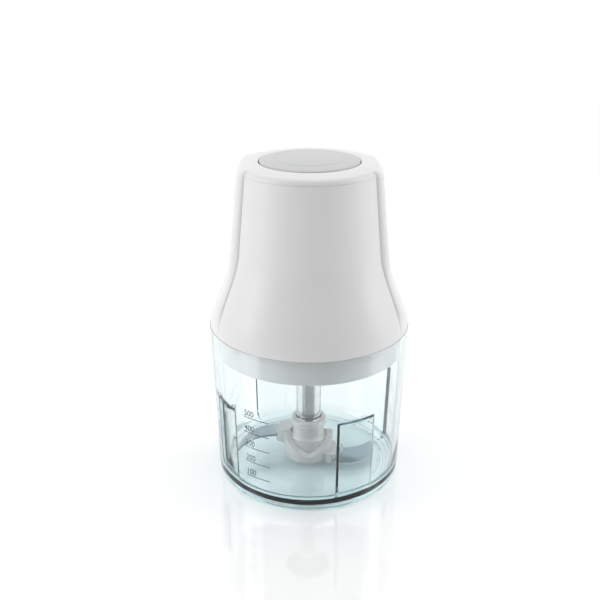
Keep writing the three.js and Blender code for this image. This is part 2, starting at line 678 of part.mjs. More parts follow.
function armatureCoreGeometry() {
  const slots = 12;
  const outline = [];
  for (let i = 0; i < slots; i++) {
    const at = (radius, offset) => {
      const angle = radians((360 / slots) * i + offset);
      return [radius * Math.cos(angle), radius * Math.sin(angle)];
    };
    outline.push(at(10.5, -12), at(ARMATURE_RADIUS, -11), at(ARMATURE_RADIUS, 11), at(10.5, 12));
  }
  const core = raised(polygonShape(outline), STATOR_BOTTOM + 0.4, STATOR_TOP - 0.4);
  return cutAway(core, disc(SHAFT_FIT, STATOR_BOTTOM - 1, STATOR_TOP + 1, 16));
}

function windingGeometry(bottom, top) {
  const edge = 1.6;
  return turned(closedProfile([
    [SHAFT_FIT + 2, bottom], [12, bottom], [14, bottom + edge],
    [14, top - edge], [12, top], [SHAFT_FIT + 2, top],
  ]), 20);
}

function fanGeometry() {
  const blades = 7;
  const [bottom, top] = [126.5, 133.2];
  const disk = ring(SHAFT_FIT, 22, bottom, bottom + 1.4, 28);
  const hub = ring(SHAFT_FIT, 6, bottom, top, 28);
  const vanes = Array.from({ length: blades }, (_, i) =>
    block(15.5, 1.2, top - bottom - 0.4, 13.2, 0, (top + bottom) / 2).rotateZ((2 * Math.PI * i) / blades)
  );
  return join(disk, hub, ...vanes);
}

// Half the stator's outside, and the poles that reach in to the armature from both sides.
const STATOR_HALF_X = 25;
const STATOR_HALF_Y = 22;
const STATOR_BORE = ARMATURE_RADIUS + 0.9;

function statorGeometry() {
  const corner = 5;
  const shape = polygonShape([
    [-STATOR_HALF_X + corner, -STATOR_HALF_Y], [STATOR_HALF_X - corner, -STATOR_HALF_Y],
    [STATOR_HALF_X, -STATOR_HALF_Y + corner], [STATOR_HALF_X, STATOR_HALF_Y - corner],
    [STATOR_HALF_X - corner, STATOR_HALF_Y], [-STATOR_HALF_X + corner, STATOR_HALF_Y],
    [-STATOR_HALF_X, STATOR_HALF_Y - corner], [-STATOR_HALF_X, -STATOR_HALF_Y + corner],
  ]);
  const windows = [
    [1, 1], [1, -1], [-1, 1], [-1, -1],
  ].map(([sx, sy]) => block(5, 11, 40, sx * 18.5, sy * 12.5, 150));
  return cutAway(raised(shape, STATOR_BOTTOM, STATOR_TOP), disc(STATOR_BORE, 130, 170, 36), ...windows);
}

// A field coil is a rectangular loop that passes through two windows of the stator, round one pole.
function fieldCoilGeometry(side) {
  const [x, thick, outer, inner] = [18.5, 4.2, 17.2, 7.8];
  const outside = block(thick, 2 * outer, 29, side * x, 0, 150);
  const inside = block(thick + 2, 2 * inner, 22.8, side * x, 0, 150);
  return cutAway(outside, inside);
}

function lowerBracketGeometry() {
  const [bottom, top] = [119.6, 122.2];
  const plate = ring(7.6, 30.4, bottom, top, 28);
  const posts = [[23.2, 16], [23.2, -16], [-23.2, 16], [-23.2, -16]].map(([x, y]) =>
    disc(2.2, top - 1, STATOR_BOTTOM - GAP, 10).translate(x, y, 0)
  );
  return join(plate, ...posts);
}

function upperBracketGeometry() {
  const [legBottom, bridgeBottom, top] = [143, 174.4, 177];
  const halfSpan = STATOR_HALF_X + GAP;
  const bridge = block(2 * halfSpan + 4, 15, top - bridgeBottom, 0, 0, (top + bridgeBottom) / 2);
  const legs = [-1, 1].map((side) =>
    block(2, 15, top - legBottom, side * (halfSpan + 1), 0, (top + legBottom) / 2)
  );
  return cutAway(join(bridge, ...legs), disc(5.6, 170, 180, 20));
}

function brushHolderGeometry(side) {
  const outside = block(12, 8, 6.6, side * 15.8, 0, 169.6);
  return cutAway(outside, block(14, 5, 4, side * 15.8, 0, 169.6));
}

addMesh("armature_shaft", disc(MOTOR_SHAFT_RADIUS, 106, 177.4, 16), "pinSteel");
addMesh("motor_pinion", gearGeometry(SUN_TEETH, GEAR_BOTTOM + 0.4, 117, SHAFT_FIT), "pinSteel");
addMesh("armature_core", armatureCoreGeometry(), "lamination");
addMesh("armature_winding_lower", windingGeometry(134, STATOR_BOTTOM + 0.1), "copper");
addMesh("armature_winding_upper", windingGeometry(STATOR_TOP - 0.1, 165.4), "copper");
addMesh("commutator", ring(SHAFT_FIT, 8.6, 165.8, 173.4, 24), "copper");
addMesh("cooling_fan", fanGeometry(), "blackPlastic");
addMesh("stator_core", statorGeometry(), "lamination");
addMesh("field_coil_left", fieldCoilGeometry(-1), "copper");
addMesh("field_coil_right", fieldCoilGeometry(1), "copper");
addMesh("lower_bracket", lowerBracketGeometry(), "pinSteel");
addMesh("upper_bracket", upperBracketGeometry(), "pinSteel");
addMesh("lower_bearing", ring(SHAFT_FIT, 7.3, 119, 124.6, 20), "bronze");
addMesh("upper_bearing", ring(SHAFT_FIT, 5.3, 174, 177.2, 20), "bronze");
addMesh("brush_holder_left", brushHolderGeometry(-1), "bronze");
addMesh("brush_holder_right", brushHolderGeometry(1), "bronze");
addMesh("carbon_brush_left", block(11, 4.4, 3.4, -14.4, 0, 169.6), "carbon");
addMesh("carbon_brush_right", block(11, 4.4, 3.4, 14.4, 0, 169.6), "carbon");

// ---------------------------------------------------------------- wiring pieces

addMesh("circuit_board", block(34, 1.6, 22, 0, 39, 113), "circuitGreen");
addMesh("suppression_capacitor", block(15, 3.4, 10, -7, 36.2, 113), "blackPlastic");
addMesh("terminal_block", block(10, 3.4, 8, 10, 36.2, 113), "greyPlastic");

export default object;
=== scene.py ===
"""The looks of a press-top mini food chopper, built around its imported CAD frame.

Shapes are worked out in millimetres and turned into metres when a mesh is made. +Z is up, the front of
the motor unit faces -Y, and the origin is the centre of the bowl's foot.
"""

from math import acos, cos, degrees, hypot, pi, radians, sin, sqrt

import bmesh
import bpy
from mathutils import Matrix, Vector


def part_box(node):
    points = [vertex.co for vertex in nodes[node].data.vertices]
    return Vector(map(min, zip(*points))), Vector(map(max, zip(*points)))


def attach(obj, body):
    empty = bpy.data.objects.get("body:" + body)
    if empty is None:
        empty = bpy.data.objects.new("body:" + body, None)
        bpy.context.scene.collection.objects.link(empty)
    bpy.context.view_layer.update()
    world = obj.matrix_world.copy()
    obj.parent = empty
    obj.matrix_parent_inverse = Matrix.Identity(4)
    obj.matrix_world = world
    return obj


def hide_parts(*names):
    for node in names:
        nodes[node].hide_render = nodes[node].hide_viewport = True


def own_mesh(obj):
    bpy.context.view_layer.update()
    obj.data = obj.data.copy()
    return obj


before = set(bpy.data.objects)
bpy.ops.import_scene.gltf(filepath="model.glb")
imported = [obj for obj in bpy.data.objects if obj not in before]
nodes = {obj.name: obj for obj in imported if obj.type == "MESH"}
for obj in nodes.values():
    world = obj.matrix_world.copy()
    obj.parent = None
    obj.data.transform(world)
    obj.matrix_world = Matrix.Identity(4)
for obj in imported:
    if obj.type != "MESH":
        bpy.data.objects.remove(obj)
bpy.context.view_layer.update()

MM = 0.001


# ---------------------------------------------------------------- sizes, read from the frame, in millimetres

def low(node):
    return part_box(node)[0] / MM


def high(node):
    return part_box(node)[1] / MM


RIM_RADIUS = high("bowl").x
BOWL_HEIGHT = high("bowl").z
BASE_RADIUS = RIM_RADIUS - 0.03 * BOWL_HEIGHT
BOWL_WALL = 2.4
FLOOR_TOP = 5.5
FLOOR_FILLET = 7
FOOT_RECESS = 1.2
FOOT_INNER = 48.5
FOOT_OUTER = 53.8
BOSS_RADIUS = 9
SPINDLE_GAP = 0.3
SOCKET_BOTTOM = 2.6
RIB_HEIGHT = 59
RIB_DEPTH = 1.8
AXIS = 0.001  # radius of the smallest ring, which closes a turned shape on its axis

SPINDLE_RADIUS = high("bowl_spindle").x
SPINDLE_TOP = high("bowl_spindle").z
HUB_RADIUS = high("blade_hub").x
HUB_BOTTOM = low("blade_hub").z
DRIVE_TOP = high("blade_hub").z
COLUMN_TOP = DRIVE_TOP - 10
HUB_TOP = 20.5
COLLAR_RADIUS = 11
COLLAR_TOP = 33
COLUMN_RADIUS = 7.7
DRIVE_HEX_RADIUS = 6.6

SKIRT_RADIUS = high("base_plate").x
SKIRT_BOTTOM = low("base_plate").z
SKIRT_TOP = high("base_plate").z
PLATE_TOP = SKIRT_BOTTOM + 3.5
SHELL_BOTTOM = low("housing_band").z
SHELL_WALL = 2.4
COVER_TOP = high("front_cover").z
DECK_TOP = high("housing_band").z
BUTTON_TOP = high("push_button").z
BUTTON_OPENING = 29.2
GLAND_CENTRE = (low("cord_gland") + high("cord_gland")) / 2

PROFILE_TOP = COVER_TOP + 2.1
DECK_BOTTOM = COVER_TOP + 0.3


# ---------------------------------------------------------------- small maths

def mix(a, b, t):
    return a + (b - a) * t


def clamp(t):
    return min(1.0, max(0.0, t))


def smooth(t):
    t = clamp(t)
    return t * t * (3 - 2 * t)


def eased(t):
    """A straight climb from 0 to 1 whose two corners are slightly rounded."""
    corner = 0.08
    if t < -corner or t > 1 + corner:
        return clamp(t)
    if t < corner:
        return (t + corner) ** 2 / (4 * corner)
    if t > 1 - corner:
        return 1 - (1 + corner - t) ** 2 / (4 * corner)
    return t


def spread(start, end, count):
    return [mix(start, end, i / (count - 1)) for i in range(count)]


def rounded(points, radius, closed=False, steps=5):
    """A polyline of 2-D points with each inner corner turned into a small curve."""
    result = []
    count = len(points)
    for i, point in enumerate(points):
        if not closed and i in (0, count - 1):
            result.append(point)
            continue
        corner, before, after = (Vector(points[j % count]) for j in (i, i - 1, i + 1))
        back, forward = before - corner, after - corner
        if back.length < 1e-6 or forward.length < 1e-6:
            continue
        reach = min(radius, 0.45 * back.length, 0.45 * forward.length)
        start = corner + back.normalized() * reach
        end = corner + forward.normalized() * reach
        for k in range(steps + 1):
            t = k / steps
            curve = start * (1 - t) ** 2 + corner * 2 * t * (1 - t) + end * t ** 2
            result.append(tuple(curve))
    return result


# ---------------------------------------------------------------- mesh helpers

def finish_mesh(name, bm, body, crease=35, weld=1e-4):
    """Makes the object from a bmesh in millimetres, smooth up to the crease angle, and rides it on a body."""
    bmesh.ops.remove_doubles(bm, verts=bm.verts, dist=weld)
    bmesh.ops.dissolve_degenerate(bm, edges=bm.edges, dist=1e-5)
    bmesh.ops.recalc_face_normals(bm, faces=bm.faces)
    bmesh.ops.scale(bm, vec=(MM, MM, MM), verts=bm.verts)
    mesh = bpy.data.meshes.new(name)
    bm.to_mesh(mesh)
    bm.free()
    mesh.polygons.foreach_set("use_smooth", [True] * len(mesh.polygons))
    mesh.set_sharp_from_angle(angle=radians(crease))
    piece = bpy.data.objects.new(name, mesh)
    bpy.context.scene.collection.objects.link(piece)
    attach(piece, body)
    return piece


def bridge(bm, rings, close_ring=True, close_stack=False):
    """Quads between successive rings of points. Returns the rings as vertices."""
    made = [[bm.verts.new(p) for p in ring] for ring in rings]
    pairs = list(zip(made, made[1:])) + ([(made[-1], made[0])] if close_stack else [])
    for a, b in pairs:
        count = len(a)
        for j in range(count if close_ring else count - 1):
            k = (j + 1) % count
            bm.faces.new((a[j], a[k], b[k], b[j]))
    return made


def capped(bm, rings):
    """A stack of rings closed by a face at each end."""
    made = bridge(bm, rings)
    bm.faces.new(made[0][::-1])
    bm.faces.new(made[-1])


def lathe_into(bm, profile, segments=96, closed=False):
    """A profile of (radius, z) points turned about the Z axis."""
    turns = [2 * pi * i / segments for i in range(segments)]
    rings = [[(r * cos(a), r * sin(a), z) for a in turns] for r, z in profile]
    bridge(bm, rings, close_stack=closed)


def lathe(name, profile, body, radius=0.5, segments=96, closed=False):
    bm = bmesh.new()
    lathe_into(bm, rounded(profile, radius, closed), segments, closed)
    return finish_mesh(name, bm, body)


def slab_into(bm, outline, bottom, top, bevel=0.0, segments=2, place=None):
    """A flat outline raised between two heights, with its rim edges bevelled. place moves its points."""
    base = [bm.verts.new((x, y, bottom)) for x, y in outline]
    lid = [bm.verts.new((x, y, top)) for x, y in outline]
    count = len(outline)
    new = [bm.faces.new(base[::-1]), bm.faces.new(lid)]
    for i in range(count):
        j = (i + 1) % count
        new.append(bm.faces.new((base[i], base[j], lid[j], lid[i])))
    verts = set(base + lid)
    if bevel:
        rims = {e for f in new[:2] for e in f.edges}
        made = bmesh.ops.bevel(bm, geom=list(rims), offset=bevel, segments=segments, affect="EDGES",
                               profile=0.6)
        verts = {v for v in verts if v.is_valid} | set(made["verts"])
    if place:
        for v in verts:
            v.co = place(v.co)


def circle(radius, count=32, centre=(0, 0)):
    turns = [2 * pi * i / count for i in range(count)]
    return [(centre[0] + radius * cos(a), centre[1] + radius * sin(a)) for a in turns]


# ---------------------------------------------------------------- materials

class Nodes:
    """Builds a node material round one Principled shader."""

    def __init__(self, name):
        self.material = bpy.data.materials.new(name)
        self.material.use_nodes = True
        self.tree = self.material.node_tree
        self.shader = self.tree.nodes["Principled BSDF"]

    def add(self, kind, **inputs):
        node = self.tree.nodes.new(kind)
        for key, value in inputs.items():
            if key in node.inputs:
                node.inputs[key].default_value = value
            else:
                setattr(node, key, value)
        return node

    def link(self, source, target):
        self.tree.links.new(source, target)

    def set(self, **values):
        for key, value in values.items():
            self.shader.inputs[key.replace("_", " ")].default_value = value
        return self

    def object_coordinates(self, scale=(1, 1, 1)):
        coordinates = self.add("ShaderNodeTexCoord")
        mapping = self.add("ShaderNodeMapping")
        mapping.inputs["Scale"].default_value = scale
        self.link(coordinates.outputs["Object"], mapping.inputs["Vector"])
        return mapping.outputs["Vector"]

    def noise(self, vector, scale, detail=3.0, roughness=0.55):
        texture = self.add("ShaderNodeTexNoise", Scale=scale, Detail=detail, Roughness=roughness)
        self.link(vector, texture.inputs["Vector"])
        return texture.outputs["Fac"]

    def ramp(self, source, low_value, high_value):
        """Maps a 0..1 texture onto a range of numbers."""
        node = self.add("ShaderNodeMapRange")
        node.inputs["To Min"].default_value = low_value
        node.inputs["To Max"].default_value = high_value
        self.link(source, node.inputs["Value"])
        return node.outputs["Result"]

    def tint(self, source, first, second):
        node = self.add("ShaderNodeMix")
        node.data_type = "RGBA"
        node.inputs[6].default_value = (*first, 1)
        node.inputs[7].default_value = (*second, 1)
        self.link(source, node.inputs[0])
        self.link(node.outputs[2], self.shader.inputs["Base Color"])
        return self

    def bump(self, source, strength, distance):
        node = self.add("ShaderNodeBump", Strength=strength, Distance=distance)
        self.link(source, node.inputs["Height"])
        self.link(node.outputs["Normal"], self.shader.inputs["Normal"])
        return self

    def roughness(self, source, low_value, high_value):
        self.link(self.ramp(source, low_value, high_value), self.shader.inputs["Roughness"])
        return self


def moulded_plastic(name, colour, roughness, grain=0.00003, grain_scale=1400, shade=0.97):
    """Injection-moulded plastic: a faint large-scale change of tone, and a fine spark-eroded grain."""
    m = Nodes(name)
    where = m.object_coordinates()
    broad = m.noise(where, 22, 2)
    m.tint(broad, tuple(c * shade for c in colour), colour)
    m.roughness(m.noise(where, 160, 3), roughness * 0.88, roughness * 1.12)
    m.bump(m.noise(where, grain_scale, 2), 0.35, grain)
    m.set(IOR=1.49)
    return m.material


def brushed_metal(name, colour, roughness, along=(30, 30, 1800), anisotropic=0.4):
    """Steel with fine lines left by grinding. The lines lie across the direction with the largest scale."""
    m = Nodes(name)
    lines = m.noise(m.object_coordinates(along), 1.0, 4)
    m.tint(lines, tuple(c * 0.86 for c in colour), colour)
    m.roughness(lines, roughness * 0.75, roughness * 1.3)
    m.bump(lines, 0.25, 0.00002)
    m.set(Metallic=1.0, Anisotropic=anisotropic)
    return m.material


def clear_plastic(name, tint, density, roughness=0.0, ior=1.55):
    """Clear styrene: a smooth dielectric that is coloured by its thickness and lets the lamps through."""
    m = Nodes(name)
    where = m.object_coordinates()
    m.tint(m.noise(where, 15, 2), (0.985, 0.995, 0.995), (1.0, 1.0, 1.0))
    m.bump(m.noise(where, 60, 2), 0.15, 0.00004)
    m.set(Transmission_Weight=1.0, IOR=ior, Roughness=roughness)
    output = m.tree.nodes["Material Output"]
    absorption = m.add("ShaderNodeVolumeAbsorption", Color=(*tint, 1), Density=density)
    m.link(absorption.outputs["Volume"], output.inputs["Volume"])
    passing = m.add("ShaderNodeMixShader")
    m.link(m.add("ShaderNodeLightPath").outputs["Is Shadow Ray"], passing.inputs[0])
    m.link(m.shader.outputs[0], passing.inputs[1])
    m.link(m.add("ShaderNodeBsdfTransparent", Color=(0.95, 0.955, 0.955, 1)).outputs[0], passing.inputs[2])
    m.link(passing.outputs[0], output.inputs["Surface"])
    return m.material


def frosted_plastic(name, colour, transmission, roughness):
    m = Nodes(name)
    where = m.object_coordinates()
    m.tint(m.noise(where, 40, 2), tuple(c * 0.95 for c in colour), colour)
    m.roughness(m.noise(where, 300, 3), roughness * 0.8, roughness * 1.25)
    m.bump(m.noise(where, 900, 2), 0.2, 0.00004)
    m.set(Transmission_Weight=transmission, IOR=1.5)
    return m.material


def soft_rubber(name, colour):
    m = Nodes(name)
    where = m.object_coordinates()
    m.tint(m.noise(where, 80, 4), tuple(c * 0.8 for c in colour), colour)
    m.roughness(m.noise(where, 250, 3), 0.62, 0.85)
    m.bump(m.noise(where, 1800, 3), 0.5, 0.00006)
    return m.material


def wound_copper(name):
    """Enamelled wire laid in close turns."""
    m = Nodes(name)
    wave = m.add("ShaderNodeTexWave", Scale=520.0, Distortion=1.2, Detail=1.0)
    wave.bands_direction = "Z"
    m.link(m.object_coordinates(), wave.inputs["Vector"])
    m.tint(wave.outputs["Fac"], (0.22, 0.07, 0.025), (0.72, 0.30, 0.12))
    m.bump(wave.outputs["Fac"], 0.9, 0.0003)
    m.set(Metallic=0.9, Roughness=0.32, Coat_Weight=0.5)
    return m.material


def stacked_steel(name):
    """Thin laminations stacked along Z."""
    m = Nodes(name)
    wave = m.add("ShaderNodeTexWave", Scale=310.0, Distortion=0.1, Detail=0.0)
    wave.bands_direction = "Z"
    m.link(m.object_coordinates(), wave.inputs["Vector"])
    m.tint(wave.outputs["Fac"], (0.10, 0.105, 0.11), (0.42, 0.43, 0.45))
    m.bump(wave.outputs["Fac"], 0.8, 0.0002)
    m.set(Metallic=0.85, Roughness=0.42)
    return m.material


def printed_board(name):
    m = Nodes(name)
    where = m.object_coordinates()
    cells = m.add("ShaderNodeTexVoronoi", Scale=420.0)
    m.link(where, cells.inputs["Vector"])
    m.tint(cells.outputs["Distance"], (0.012, 0.10, 0.045), (0.03, 0.23, 0.10))
    m.bump(cells.outputs["Distance"], 0.3, 0.00008)
    m.set(Roughness=0.35)
    return m.material


WHITE = moulded_plastic("white_plastic", (0.80, 0.81, 0.80), 0.36)
PALE_GREY = moulded_plastic("pale_grey_plastic", (0.60, 0.61, 0.605), 0.42)
# Painted light: the skirt is coloured lighter and warmer than its plastic, to make up for the light that the
# bowl's tinted wall takes from it.
SKIRT_PAINTED_LIGHT = moulded_plastic("skirt_plastic_painted_light", (0.95, 0.92, 0.91), 0.2)
INNER_GREY = moulded_plastic("inner_grey_plastic", (0.42, 0.43, 0.43), 0.5, grain=0.00006)
BLACK = moulded_plastic("black_plastic", (0.028, 0.029, 0.031), 0.45, grain=0.00006)
NYLON = moulded_plastic("gear_nylon", (0.78, 0.72, 0.56), 0.48, shade=0.93)
INK = moulded_plastic("scale_ink", (0.11, 0.13, 0.14), 0.6)
CLEAR = clear_plastic("clear_styrene", (0.52, 0.80, 0.84), 48.0)
CLEAR_HUB = clear_plastic("clear_hub", (0.74, 0.76, 0.76), 60.0, roughness=0.05)
# Painted light: the hub is coloured lighter and warmer than its plastic, to make up for the light that the
# bowl's tinted wall takes from it.
FROSTED_PAINTED_LIGHT = frosted_plastic("frosted_hub_painted_light", (1.0, 0.965, 0.955), 0.45, 0.1)
BLADE_STEEL = brushed_metal("blade_steel", (0.34, 0.42, 0.47), 0.2, along=(900, 30, 30))
# Painted shade: the spindle's steel is coloured darker than bare polished steel, to give the darkness it shows
# under this lighting.
POLISHED_STEEL_PAINTED_SHADE = brushed_metal("polished_steel_painted_shade", (0.42, 0.43, 0.43), 0.09, along=(20, 20, 900), anisotropic=0)
PIN_STEEL = brushed_metal("pin_steel", (0.60, 0.62, 0.63), 0.24)
BRONZE = brushed_metal("sintered_bronze", (0.58, 0.40, 0.19), 0.42, along=(400, 400, 400), anisotropic=0)
CARBON = moulded_plastic("pressed_carbon", (0.03, 0.03, 0.032), 0.62, grain=0.0001, grain_scale=900)
RUBBER = soft_rubber("soft_rubber", (0.035, 0.037, 0.04))
COPPER = wound_copper("enamelled_copper")
LAMINATION = stacked_steel("laminated_steel")
BOARD = printed_board("printed_board")


def dress(piece, material, *replaced, slot=None):
    """Gives a piece its material and hides the CAD nodes that it stands for. Its slot is not used."""
    piece.data.materials.clear()
    piece.data.materials.append(material)
    if replaced:
        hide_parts(*replaced)
    return piece


# ---------------------------------------------------------------- bowl

RIB_COUNT = 4
RIB_FIRST = 28.4
RIB_SPAN = 25
RIB_EDGE = 1.9  # degrees over which a rib rises from the wall on its deep side
RIB_STEP = 0.6  # degrees over which it drops back to the wall on its shallow side
RIB_SHALLOW = 0.5  # share of the depth that is left on that side
SUPPORT = (-0.08, 0, 0.08, 0.5, 0.92, 1, 1.08)  # where a sloping step is sampled, as shares of its width


def rib_angles():
    """Angles from the front at which the inner wall is sampled: even, with extra ones at the ribs' edges."""
    edges = []
    for i in range(RIB_COUNT):
        first = RIB_FIRST + 360 * i / RIB_COUNT - RIB_SPAN / 2
        for start, width in ((first, RIB_EDGE), (first + RIB_SPAN - RIB_STEP, RIB_STEP)):
            edges += [start + width * k for k in (-0.5, *SUPPORT, 1.5)]
    even = [i * 2.5 for i in range(144)]
    edges = [e % 360 for e in edges]
    apart = [a for a in even if all(abs((a - e + 180) % 360 - 180) > 0.9 for e in edges)]
    return sorted(apart + edges)


def rib_share(angle):
    """Share of the depth: 1 at a rib's deep side, less towards its shallow side, and 0 between ribs."""
    along = (angle - RIB_FIRST + RIB_SPAN / 2 + 30) % (360 / RIB_COUNT) - 30
    depth = mix(1, RIB_SHALLOW, clamp(along / RIB_SPAN))
    return depth * min(eased(along / RIB_EDGE), eased((RIB_SPAN - along) / RIB_STEP))


def inner_radius(z):
    return BASE_RADIUS + (RIM_RADIUS - BASE_RADIUS) * z / BOWL_HEIGHT - BOWL_WALL


def bowl_rings(angles):
    slope = (RIM_RADIUS - BASE_RADIUS) / BOWL_HEIGHT
    foot = [(AXIS, FOOT_RECESS), (30, FOOT_RECESS), (FOOT_INNER - 1.5, FOOT_RECESS), (FOOT_INNER, 0),
            (FOOT_OUTER, 0), (FOOT_OUTER + 2.4, 1.2), (BASE_RADIUS + slope * 3.4, 3.4)]
    outer = [(BASE_RADIUS + slope * z, z) for z in (5.2, 6, 20, 40, 60, 80)]
    rim = [(RIM_RADIUS, BOWL_HEIGHT), (RIM_RADIUS - BOWL_WALL, BOWL_HEIGHT)]
    near_rim = [BOWL_HEIGHT - 1.2, BOWL_HEIGHT - 0.6]
    lip = ([(BASE_RADIUS + slope * z, z) for z in (90, *near_rim)] + rim
           + [(inner_radius(z), z) for z in (*near_rim[::-1], 95)])
    outside = rounded(foot + outer, 0.9) + rounded(lip, 0.2)
    top_slope = [RIB_HEIGHT - RIB_DEPTH * k for k in (-1, *SUPPORT, 2)]
    fillet_top = FLOOR_TOP + FLOOR_FILLET
    inside = [(inner_radius(z), z, eased((RIB_HEIGHT - z) / RIB_DEPTH))
              for z in (80, *top_slope, 40, 25, fillet_top)]
    centre = inner_radius(fillet_top) - FLOOR_FILLET
    for turn in spread(10, 90, 9):
        share = smooth((90 - turn) / 30)
        inside.append((centre + FLOOR_FILLET * cos(radians(turn)),
                       fillet_top - FLOOR_FILLET * sin(radians(turn)), share))
    socket = SPINDLE_RADIUS + SPINDLE_GAP
    boss = rounded([(30, FLOOR_TOP), (BOSS_RADIUS + 0.6, FLOOR_TOP), (BOSS_RADIUS, FLOOR_TOP + 0.5),
                    (socket, FLOOR_TOP + 0.5), (socket, SOCKET_BOTTOM), (AXIS, SOCKET_BOTTOM)], 0.3)
    rings = [[(r, z, 0) for r, z in outside], inside, [(r, z, 0) for r, z in boss]]
    return [
        [((r - RIB_DEPTH * share * rib_share(a)) * sin(radians(a)),
          -(r - RIB_DEPTH * share * rib_share(a)) * cos(radians(a)), z) for a in angles]
        for part in rings for r, z, share in part
    ]


def make_bowl():
    bm = bmesh.new()
    bridge(bm, bowl_rings(rib_angles()))
    return dress(finish_mesh("bowl_shell", bm, "bowl_body", crease=40, weld=2e-3), CLEAR, "bowl",
                 slot="clear_plastic")


def on_wall(angle, z, lift):
    """A point on the bowl's outside at an angle from the front, in degrees, towards +X."""
    radius = BASE_RADIUS + (RIM_RADIUS - BASE_RADIUS) * z / BOWL_HEIGHT + lift
    return radius * sin(radians(angle)), -radius * cos(radians(angle)), z


MARK_Z = 58
MARK_STEP = 10
MARK_FROM = -40.5
MARK_TO = -23.5
MARK_LINE = 0.5
INK_BOTTOM = 0.01
INK_TOP = 0.06
DIGIT_SIZE = 5.6
DIGIT_LIFT = 1.3  # of the lettering's foot above the foot of its line
DIGIT_WIDTH = 0.82  # share of the font's own width


def digits_into(bm, text, angle, z, size):
    """Lettering wrapped round the bowl's outside, its left end at an angle from the front."""
    curve = bpy.data.curves.new("digits", "FONT")
    curve.body = text
    curve.size = size
    curve.resolution_u = 3
    curve.shear = 0.12
    curve.offset = 0.04
    writing = bpy.data.objects.new("digits", curve)
    bpy.context.scene.collection.objects.link(writing)
    depsgraph = bpy.context.evaluated_depsgraph_get()
    flat = bpy.data.meshes.new_from_object(writing.evaluated_get(depsgraph))
    bpy.data.objects.remove(writing)
    for polygon in flat.polygons:
        corners = [flat.vertices[i].co for i in polygon.vertices]
        wrapped = [on_wall(angle + degrees(c.x * DIGIT_WIDTH / BASE_RADIUS), z + c.y, INK_TOP) for c in corners]
        bm.faces.new([bm.verts.new(p) for p in wrapped])
    bpy.data.meshes.remove(flat)


def make_scale():
    bm = bmesh.new()
    for i in range(5):
        z = MARK_Z - i * MARK_STEP
        corners = ((z, INK_BOTTOM), (z + MARK_LINE, INK_BOTTOM), (z + MARK_LINE, INK_TOP), (z, INK_TOP))
        bridge(bm, [[on_wall(a, h, lift) for h, lift in corners] for a in spread(MARK_FROM, MARK_TO, 14)])
        digits_into(bm, str(500 - 100 * i), MARK_FROM + 0.4, z + DIGIT_LIFT, DIGIT_SIZE)
    digits_into(bm, "ml", MARK_FROM - 10.7, MARK_Z + DIGIT_LIFT, DIGIT_SIZE)
    return dress(finish_mesh("volume_scale", bm, "bowl_body"), INK, slot="black_plastic")


def make_spindle():
    bottom = low("bowl_spindle").z
    groove = 61
    profile = [(AXIS, bottom), (SPINDLE_RADIUS, bottom), (SPINDLE_RADIUS, groove - 1),
               (SPINDLE_RADIUS - 0.5, groove - 0.6), (SPINDLE_RADIUS - 0.5, groove + 0.6),
               (SPINDLE_RADIUS, groove + 1), (SPINDLE_RADIUS, SPINDLE_TOP - 2),
               (SPINDLE_RADIUS - 2, SPINDLE_TOP), (AXIS, SPINDLE_TOP)]
    return dress(lathe("spindle_pin", profile, "bowl_body", 0.25, 48), POLISHED_STEEL_PAINTED_SHADE, "bowl_spindle",
                 slot="pin_steel")


make_bowl()
make_scale()
make_spindle()


# ---------------------------------------------------------------- blade unit

LOWER_BLADE_ANGLE = -20
UPPER_BLADE_ANGLE = 160
BLADE_REACH = 48
BLADE_SWEEP = 44
BLADE_ROOT = 9
TANG_HALF_WIDTH = 6.5
GROUND_WIDTH = 3.2  # of the bevel along the cutting edge


def ring_from(radius_at, z, count=96):
    """A ring of points whose radius depends on the angle."""
    angles = [2 * pi * i / count for i in range(count)]
    return [(radius_at(a) * cos(a), radius_at(a) * sin(a), z) for a in angles]


def hexagon_radius(radius, softness=0.94):
    """Radius of a hexagon with eased corners, as a function of the angle."""
    flat = radius * cos(pi / 6)

    def at(angle):
        return min(flat / cos((angle % (pi / 3)) - pi / 6), radius * softness)
    return at


def make_hub():
    """The foot of the hub, round the spindle's bush, with the flanged collar on it."""
    bore = SPINDLE_RADIUS + SPINDLE_GAP
    bush_bore, bush_top = 6.8, 13
    foot, neck = COLLAR_RADIUS + 0.4, COLLAR_RADIUS - 1.2
    profile = [
        (bore, COLLAR_TOP), (bore, bush_top), (bush_bore, bush_top), (bush_bore, HUB_BOTTOM),
        (HUB_RADIUS - 3.6, HUB_BOTTOM), (foot, HUB_BOTTOM + 2), (foot, HUB_TOP - 0.4), (COLLAR_RADIUS, HUB_TOP),
        (neck, HUB_TOP + 1), (neck, COLLAR_TOP - 5), (COLLAR_RADIUS, COLLAR_TOP - 4),
        (COLLAR_RADIUS, COLLAR_TOP),
    ]
    return dress(lathe("hub_body", profile, "blade_unit", 0.6, closed=True), FROSTED_PAINTED_LIGHT, slot="frosted_plastic")


def make_column():
    """The clear column over the spindle, and the hexagon on top of it that the motor drives."""
    bore, bore_top = SPINDLE_RADIUS + SPINDLE_GAP, SPINDLE_TOP + 3
    bottom, flange = COLLAR_TOP + 0.1, COLUMN_RADIUS + 0.7
    profile = [(bore, bore_top), (bore, bottom), (flange, bottom), (flange, COLLAR_TOP + 1.2),
               (COLUMN_RADIUS, COLLAR_TOP + 2), (COLUMN_RADIUS, COLUMN_TOP)]
    rings = [ring_from(lambda a, r=r: r, z) for r, z in [(AXIS, bore_top)] + rounded(profile, 0.5)]
    hexagon = hexagon_radius(DRIVE_HEX_RADIUS)
    for share, z in ((1, COLUMN_TOP), (1, DRIVE_TOP - 1.2), (0.94, DRIVE_TOP - 0.4), (0.84, DRIVE_TOP),
                     (AXIS, DRIVE_TOP)):
        rings.append(ring_from(lambda a, k=share: k * hexagon(a), z))
    bm = bmesh.new()
    bridge(bm, rings)
    return dress(finish_mesh("hub_column", bm, "blade_unit"), CLEAR_HUB, "blade_hub", slot="frosted_plastic")


